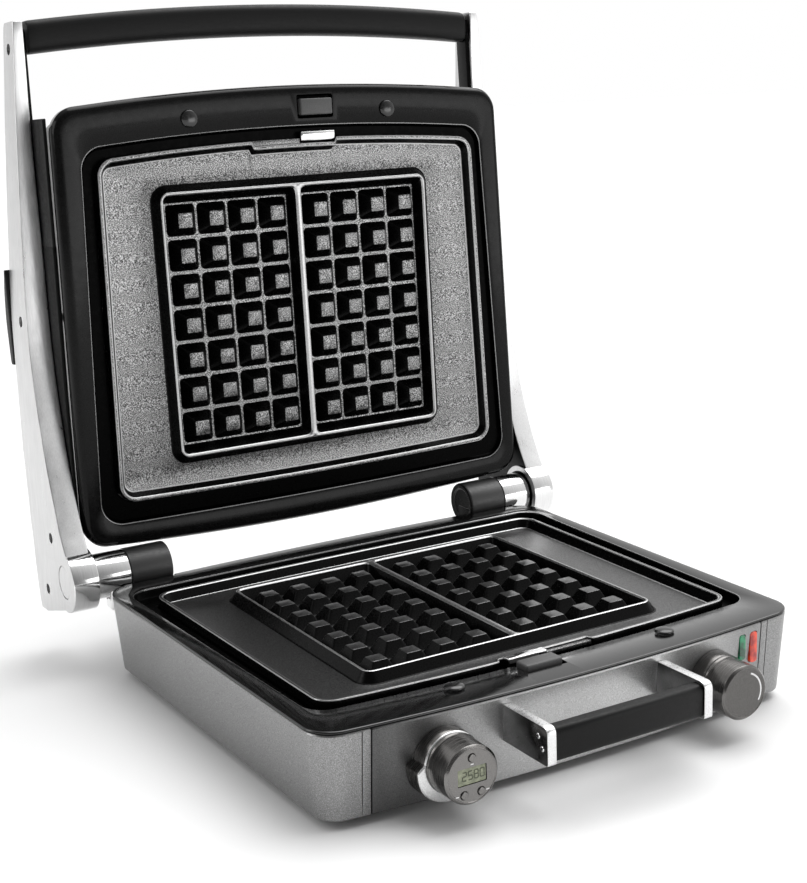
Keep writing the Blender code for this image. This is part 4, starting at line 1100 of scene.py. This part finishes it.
def hinge_bracket(side, hand):
    """The silver barrel with its foot and bore."""
    width = BARREL_OUTER_X - BARREL_INNER_X - GAP
    start = on_hinge(side * (BARREL_INNER_X + GAP))
    edge = rounded([(BARREL_BORE, 0, 0), (BARREL_RADIUS, 0, 0.0005), (BARREL_RADIUS, width, 0.0008),
                    (BARREL_BORE, width, 0)], 4)
    barrel = spun("hinge_barrel_" + hand, edge, start, (side, 0, 0), "polished_steel", 96, closed=True)
    foot = to_object("foot", block((side * 0.1500, 0.1487, 0.0400), (side * 0.1640, 0.1605, 0.0560)))
    carve(barrel, bevelled(foot, 0.0024, 4), operation="UNION")
    carve(barrel, spun("bore", [(BARREL_BORE, -0.001), (BARREL_BORE, 0.03)], start, (side, 0, 0), None, 48))
    seat(barrel, "base", "hinge_bracket_" + hand)


def hinge_cover(side, hand):
    """The black cover inwards of the barrel, with the web that carries it."""
    length = BARREL_INNER_X - COVER_INNER_X - GAP
    edge = rounded([
        (0.0, 0.0012, 0), (0.0108, 0.0012, 0.0010), (0.0116, 0.0, 0.0006), (BARREL_RADIUS, 0, 0.0018),
        (BARREL_RADIUS, length, 0.0004), (BARREL_BORE, length, 0),
    ], 5, False)
    start = on_hinge(side * COVER_INNER_X)
    cover = spun("barrel_cover_" + hand, edge, start, (side, 0, 0), "cover_black", 96)
    web = to_object("web", block((side * 0.1200, 0.1490, 0.0360), (side * 0.1485, 0.1680, 0.0600)))
    carve(cover, bevelled(web, 0.0015, 3), operation="UNION")
    # Painted shade: the cover's inward faces take the darker black.
    two_tone(cover, "painted_shade_black", lambda face: face.normal.x * side < -0.9)
    seat(cover, "base", "hinge_cover_" + hand)


def hinge_pin(side, hand):
    """The pin, and a dark ring of painted shade in the gap between barrel and arm."""
    low, high, _ = box_in("hinge_pin_" + hand)
    length = high.x - low.x
    profile = [(0.0056, 0), (0.0060, 0.0004), (0.0060, length - 0.0004), (0.0056, length)]
    seat(spun("pin_" + hand, profile, on_hinge(low.x), (1, 0, 0), "chrome", 48), "base", "hinge_pin_" + hand)
    profile = washer(0.0066, 0.0164, 0.0006, 0.0004)
    start = on_hinge(side * (BARREL_OUTER_X - 0.0001))
    seat(spun("hinge_gap_shade_" + hand, profile, start, (side, 0, 0), "painted_shade_black", 96, closed=True), "base")


# ---------------------------------------------------------------- lid

# Stations down each arm: distance from the hinge, outer x, inner x, front edge, back edge.
ARM_STATIONS = [
    (0.3610, 0.1752, 0.1698, -0.0360, -0.0520),
    (0.3580, 0.1764, 0.1698, -0.0340, -0.0550),
    (0.3300, 0.1781, 0.1700, -0.0352, -0.0580),
    (0.3000, 0.1800, 0.1704, -0.0362, -0.0610),
    (0.2400, 0.1842, 0.1714, -0.0342, -0.0634),
    (0.1800, 0.1878, 0.1724, -0.0320, -0.0650),
    (0.1500, 0.1889, 0.1730, -0.0302, -0.0646),
    (0.1200, 0.1896, 0.1736, -0.0256, -0.0640),
    (0.0800, 0.1900, 0.1742, -0.0170, -0.0650),
    (0.0500, 0.1902, 0.1744, -0.0070, -0.0640),
    (0.0330, 0.1905, 0.1746, 0.0000, -0.0630),
    (0.0180, 0.1905, 0.1746, 0.0080, -0.0620),
    (0.0000, 0.1905, 0.1746, 0.0150, -0.0616),
    (-0.0120, 0.1905, 0.1746, 0.0150, -0.0606),
    (-0.0180, 0.1905, 0.1746, 0.0040, -0.0600),
    (-0.0250, 0.1905, 0.1746, -0.0230, -0.0590),
    (-0.0300, 0.1905, 0.1746, -0.0430, -0.0570),
]
# Screws of each arm: distance from the hinge, place from front to back, outer x.
ARM_SCREWS = (
    (0.3440, -0.0450, 0.1770), (0.0262, -0.0200, 0.1905),
    (-0.0130, -0.0380, 0.1905), (0.1690, -0.0440, 0.1882),
)


def between(t, a, b, c, d):
    """A value at t from b to c, on a smooth curve that comes from a and goes on to d."""
    return b + 0.5 * t * (c - a + t * (2 * a - 5 * b + 4 * c - d + t * (3 * (b - c) + d - a)))


def smooth_stations(stations, steps):
    """Stations with a smooth curve through the given ones, which never passes their highest values."""
    made = []
    highest = [max(values) for values in zip(*stations)]
    last = len(stations) - 1
    for index in range(last):
        four = [stations[min(max(place, 0), last)] for place in range(index - 1, index + 3)]
        for t in even(0, 1, steps)[:-1]:
            made.append([min(between(t, a, b, c, d), limit) for a, b, c, d, limit in zip(*four, highest)])
    return made + [stations[-1]]


def arm_ring(side, distance, section):
    """A section of (x, place from front to back) at a distance along the arm."""
    return [(side * x, -distance, -place) for x, place in section]


def on_boss(face):
    """Whether a face of the arm lies on the round side of its boss."""
    away = math.hypot(face.center.y, face.center.z)
    return abs(face.normal.x) < 0.3 and abs(away - ARM_BOSS_RADIUS) < 0.0006


def arm(side, hand):
    rings = []
    for distance, outer, inner, front, back in smooth_stations(ARM_STATIONS, 4):
        corners = [(outer, front, 0.0009), (outer, back, 0.0012), (inner, back, 0.0012),
                   (inner, front, 0.0009)]
        rings.append(arm_ring(side, distance, rounded(corners, 4)))
    beam = to_object("arm_beam_" + hand, skin(rings), "aluminium")
    outward = (side, 0, 0)
    length = ARM_BOSS_X - BARREL_OUTER_X - 0.0006
    edge = rounded([(0.0070, 0, 0), (ARM_BOSS_RADIUS, 0, 0.0006), (ARM_BOSS_RADIUS, length, 0.0006),
                    (0.0070, length, 0)], 4)
    boss = spun("boss", edge, (side * (BARREL_OUTER_X + 0.0006), 0, 0), outward, None, 96, closed=True)
    cap_start = (side * ARM_CAP_X, 0, 0)
    bore_start = (side * (ARM_CAP_X - GAP), 0, 0)
    pin_start = (side * ARM_BOSS_X, 0, 0)
    cutters = [spun("bore", [(0.0113, 0.0), (0.0113, 0.05)], bore_start, outward),
               spun("pin_room", [(BARREL_BORE, -0.03), (BARREL_BORE, 0.05)], pin_start, outward, None, 48)]
    for index, (distance, place, outer) in enumerate(ARM_SCREWS):
        start = (side * outer, -distance, -place)
        cutters.append(spun("screw_room", [(0.0036, -0.0030), (0.0036, 0.0050)], start, outward, None, 32))
        start = (side * (outer - 0.0028), -distance, -place)
        screw("arm_screw_%s_%d" % (hand, index), start, side, 0.0032, "lid", AT_LID, "soft_black")
    carve(beam, boss, operation="UNION")
    carve(beam, *cutters)
    # Painted highlight: the arm's front faces take the brighter copy of the aluminium.
    two_tone(beam, "arm_front_painted_highlight", lambda face: face.normal.z < -0.5)
    two_tone(beam, "polished_steel", on_boss)
    # Painted shade: the arm's inner side, facing the lid, is painted satin black up to 0.3 m from the hinge,
    # outside the boss.
    two_tone(beam, "soft_black", lambda face: (
        face.normal.x * side < -0.8 and face.center.y > -0.300
        and face.center.yz.length > ARM_BOSS_RADIUS + 0.0004))
    seat_on_lid(beam, "arm_" + hand)
    cap = [(0.0108, 0.0), (0.0110, 0.0004), (0.0110, 0.0036), (0.0107, 0.0038), (0.0100, 0.0039),
           (0.0040, 0.0039)]
    seat_on_lid(spun("pin_cap_" + hand, cap, cap_start, outward, "aluminium"), "arm_cap_" + hand)


def arm_liner(side, hand):
    """Black liner on the inner side of the arm's top, with thinner ends."""
    rings = []
    for distance, outer in (
        (0.3560, 0.1695), (0.3540, 0.1695), (0.3300, 0.1697), (0.3000, 0.1701), (0.2400, 0.1711),
        (0.2220, 0.1714), (0.2200, 0.1714),
    ):
        near = outer - (0.0022 if 0.2210 < distance < 0.3550 else 0.0016)
        section = [(outer, -0.0375, 0), (outer, -0.0520, 0), (near, -0.0510, 0.0006), (near, -0.0385, 0.0006)]
        rings.append(arm_ring(side, distance, rounded(section, 3)))
    seat_on_lid(to_object("liner_" + hand, skin(rings), "black_plastic"), "arm_liner_" + hand)


def arm_shadow_strips(side, hand):
    """Black strips that close the slit between the arm and the side of the lid."""
    for part, far, thick, spans in (
        ("low", -0.0500, 0.0028, ((0.0300, 0.1742), (0.1200, 0.1733), (0.2180, 0.1713))),
        ("high", -0.0368, 0.0024, ((0.2140, 0.1712), (0.2400, 0.1708), (0.2990, 0.1698))),
    ):
        rings = [arm_ring(side, distance, [(x, -0.0138), (x, far), (x - thick, far), (x - thick, -0.0138)])
                 for distance, x in spans]
        strip = to_object("arm_%s_strip_%s" % (part, hand), skin(rings), "soft_black")
        seat_on_lid(bevelled(strip, 0.0005, 3))


def grip():
    """Bowed bar between the arms, oval with a slightly flattened face."""
    rings = []
    for place in [-1.0, -0.996, -0.985, *even(-0.96, 0.96, 24), 0.985, 0.996, 1.0]:
        middle = 0.3508 + 0.0080 * (1 - place ** 2)
        size = 0.90 if abs(place) > 0.998 else (0.97 if abs(place) > 0.99 else 1.0)
        ring = []
        for corner in range(40):
            turn = 2 * math.pi * corner / 40
            across = 0.0107 * size * math.copysign(abs(math.cos(turn)) ** 0.62, math.cos(turn))
            deep = 0.0098 * size * math.copysign(abs(math.sin(turn)) ** 0.62, math.sin(turn))
            ring.append((place * 0.1664, -(middle + across), 0.0446 + deep))
        rings.append(ring)
    seat_on_lid(to_object("grip_bar", skin(rings), "soft_black"), "handle_grip")


def lid_frame():
    """Black frame round the upper plate, with a chamfer of painted highlight, and its gutter, inner wall and
    release room in painted shade.
    """
    outer = rounded([
        (0.0040, LID_BEZEL_TOP, 0), (0.0006, LID_BEZEL_TOP, 0.0005), (0.0, LID_FACE + 0.0040, 0.0),
        (0.0022, LID_FACE, 0.0024), (0.0080, LID_FACE, 0),
    ], 6, False)
    levels = [(LID_EDGE, inset, height, 0) for inset, height in outer[:-1]]
    levels += gutter_levels(LID_OPENING, LID_RIM_EDGE, LID_FACE, LID_GUTTER)
    levels.append((LID_RIM_EDGE, -0.0010, LID_BEZEL_TOP, 1))
    bezel = to_object("lid_frame", loft(levels, closed=True), "black_plastic", "painted_shade_black", "edge_sheen_and_grey_band")
    seat_on_lid(carve(bezel, release_room("lid_release_button", AT_LID, LID_FACE, -1)), "lid_bezel")


def lid_waist():
    """Bright band between the frame and the cover, with a fine groove."""
    edge = LID_EDGE.inset(0.0035)
    seam = LID_BEZEL_TOP + GAP
    section = rounded([
        (0.0, seam, 0.0003), (0.0, 0.0165, 0), (0.0006, 0.0169, 0), (0.0006, 0.0172, 0), (0.0, 0.0176, 0),
        (0.0008, LID_FRAME_TOP, 0.0006), (0.0008 + WALL, LID_FRAME_TOP, 0.0003), (WALL, seam, 0.0003)], 3)
    rings = [edge.inset(inset).ring(height) for inset, height in section]
    seat_on_lid(to_object("lid_waist", skin(rings, closed=True), "edge_sheen_and_grey_band"), "lid_side_frame")


def lid_cover():
    """Silver shell on the lid's back, with a shallow ring round its flat middle."""
    edge = LID_EDGE.inset(0.0062)
    seam = LID_FRAME_TOP + GAP
    dome = rounded([(0.0, seam, 0.0004), (0.0016, LID_COVER_SHOULDER, 0.0020), (0.0040, 0.0526, 0.0020),
                    (0.0120, LID_COVER_TOP - 0.0004, 0.0030), (0.0160, LID_COVER_TOP - 0.0001, 0)], 8, False)
    flat = [(0.0240, LID_COVER_TOP), (0.0400, LID_COVER_TOP), (0.0410, LID_COVER_TOP - 0.0006),
            (0.0420, LID_COVER_TOP)]
    rings = [edge.inset(inset).ring(height) for inset, height in [(WALL, seam), *dome, *flat]]
    seat_on_lid(to_object("lid_shell", skin(rings), "dark_silver"), "lid_cover")


def lid_pivot(side, hand):
    low, high, _ = box_in("lid_pivot_" + hand, AT_LID)
    length = high.x - low.x
    bolt = [(0.0030, 0), (0.0030, length - 0.0010), (0.0026, length - 0.0003), (0.0018, length)]
    start = (low.x if side > 0 else high.x, -0.1690, 0.0440)
    # Painted shade: the chrome bolt takes the dark steel look, for the shade between the arm and the lid.
    seat_on_lid(spun("pivot_bolt_" + hand, bolt, start, (side, 0, 0), "dark_steel_and_painted_bolt_shade", 40), "lid_pivot_" + hand)


def lock_lever():
    # Stations along the lever: distance, near side, far side.
    stations = [
        (0.0, 0.0016, 0.0075), (0.003, 0.0010, 0.0086), (0.012, 0.0008, 0.0092), (0.030, 0.0004, 0.0100),
        (0.050, 0.0004, 0.0072), (0.060, 0.0005, 0.0040), (0.064, 0.0006, 0.0026),
    ]
    rings = []
    for distance, near, far in smooth_stations(stations, 5):
        radius = min((far - near) * 0.35, 0.0016)
        corners = ((-0.1892, near), (-0.1762, near), (-0.1762, far), (-0.1892, far))
        section = rounded([(*corner, radius) for corner in corners], 4)
        rings.append([(x, -0.1380 - distance, 0.0655 + place) for x, place in section])
    seat(to_object("lever", skin(rings), "soft_black"), "lock_lever", "lock_lever", at=AT_LID)


# ---------------------------------------------------------------- pieces that keep their CAD shape

def carried_over():
    """Gives every CAD node that still shows a finish from its slot."""
    for node, obj in frame["nodes"].items():
        obj.data.materials.clear()
        obj.data.materials.append(LOOKS[SLOTS[node]].material)


# ---------------------------------------------------------------- camera, floor and light

def camera():
    """A camera at the photograph's viewing angle."""
    eye = Vector((-0.48688, -0.82914, 0.38168))
    forward = Vector((0.48700, 0.84243, -0.23053)).normalized()
    right = forward.cross(Vector(UP)).normalized()
    data = bpy.data.cameras.new("camera")
    data.lens = 63.89
    data.sensor_width = 36.0
    obj = bpy.data.objects.new("camera", data)
    level = Matrix((right, right.cross(forward), -forward)).transposed().to_4x4()
    obj.matrix_world = Matrix.Translation(eye) @ level @ Matrix.Rotation(-0.039, 4, "Z")
    bpy.context.scene.collection.objects.link(obj)
    bpy.context.scene.camera = obj


def add_light(name, kind, energy, place, direction):
    data = bpy.data.lights.new(name, kind)
    data.energy = energy
    obj = bpy.data.objects.new(name, data)
    aim = Vector(direction).to_track_quat("-Z", "Y").to_matrix().to_4x4()
    obj.matrix_world = Matrix.Translation(place) @ aim
    bpy.context.scene.collection.objects.link(obj)
    return data


def area_light(name, place, target, size, power):
    data = add_light(name, "AREA", power, place, Vector(target) - Vector(place))
    data.shape = "RECTANGLE"
    data.size = size[0]
    data.size_y = size[1]


def world_light():
    """White studio walls for the camera, and a soft room that's darker at the front left for the model."""
    world = bpy.data.worlds.new("studio")
    bpy.context.scene.world = world
    world.use_nodes = True
    tree = world.node_tree
    coordinate, split, lean, room, path, pick = [tree.nodes.new("ShaderNode" + kind) for kind in (
        "TexCoord", "SeparateXYZ", "Math", "MapRange", "LightPath", "Mix")]
    lean.operation = "MULTIPLY_ADD"
    lean.inputs[1].default_value = 1.15
    pick.data_type = "FLOAT"
    wire(tree, split, Vector=coordinate.outputs["Generated"])
    tree.links.new(split.outputs["X"], lean.inputs[0])
    tree.links.new(split.outputs["Y"], lean.inputs[2])
    wire(tree, room, From_Min=-0.85, From_Max=0.35, To_Min=FRONT_ROOM, To_Max=1.0)
    wire(tree, room, Value=lean.outputs["Value"])
    wire(tree, pick, Factor=path.outputs["Is Camera Ray"], A=room.outputs["Result"], B=1.0)
    wire(tree, tree.nodes["Background"], Strength=pick.outputs["Result"], Color=rgba(1.0))


def studio():
    tool = bmesh.new()
    bmesh.ops.create_grid(tool, x_segments=2, y_segments=2, size=12.0)
    floor = to_object("studio_floor", tool)
    look = Look("pale_floor", 0.92, 0.9, 0.0, ((3, 2), tones(0.915, 0.925)), Specular_IOR_Level=0.0)
    floor.data.materials.append(look.material)
    world_light()
    add_light("sun", "SUN", 2.1, (0, 0, 0), (-0.48, -0.16, -1.0)).angle = math.radians(55)
    area_light("panel", (0.85, -1.48, 0.28), (0.05, -0.15, 0.04), (1.0, 0.42), 3.5)
    area_light("rim", (-1.5, 0.5, 0.9), (0, 0, 0.15), (0.6, 1.0), 5)
    bpy.context.scene.view_settings.view_transform = "Standard"


def main():
    carried_over()
    for make in (
        base_housing, front_panel, base_frame, underside, feet, lamps, timer, thermostat, lower_handle,
        waffle_plates, releases, bumpers, grip, lid_frame, lid_waist, lid_cover, lock_lever, camera, studio,
    ):
        make()
    for side, hand in HANDS:
        for make in (hinge_bracket, hinge_cover, hinge_pin, arm, arm_liner, arm_shadow_strips, lid_pivot):
            make(side, hand)


main()
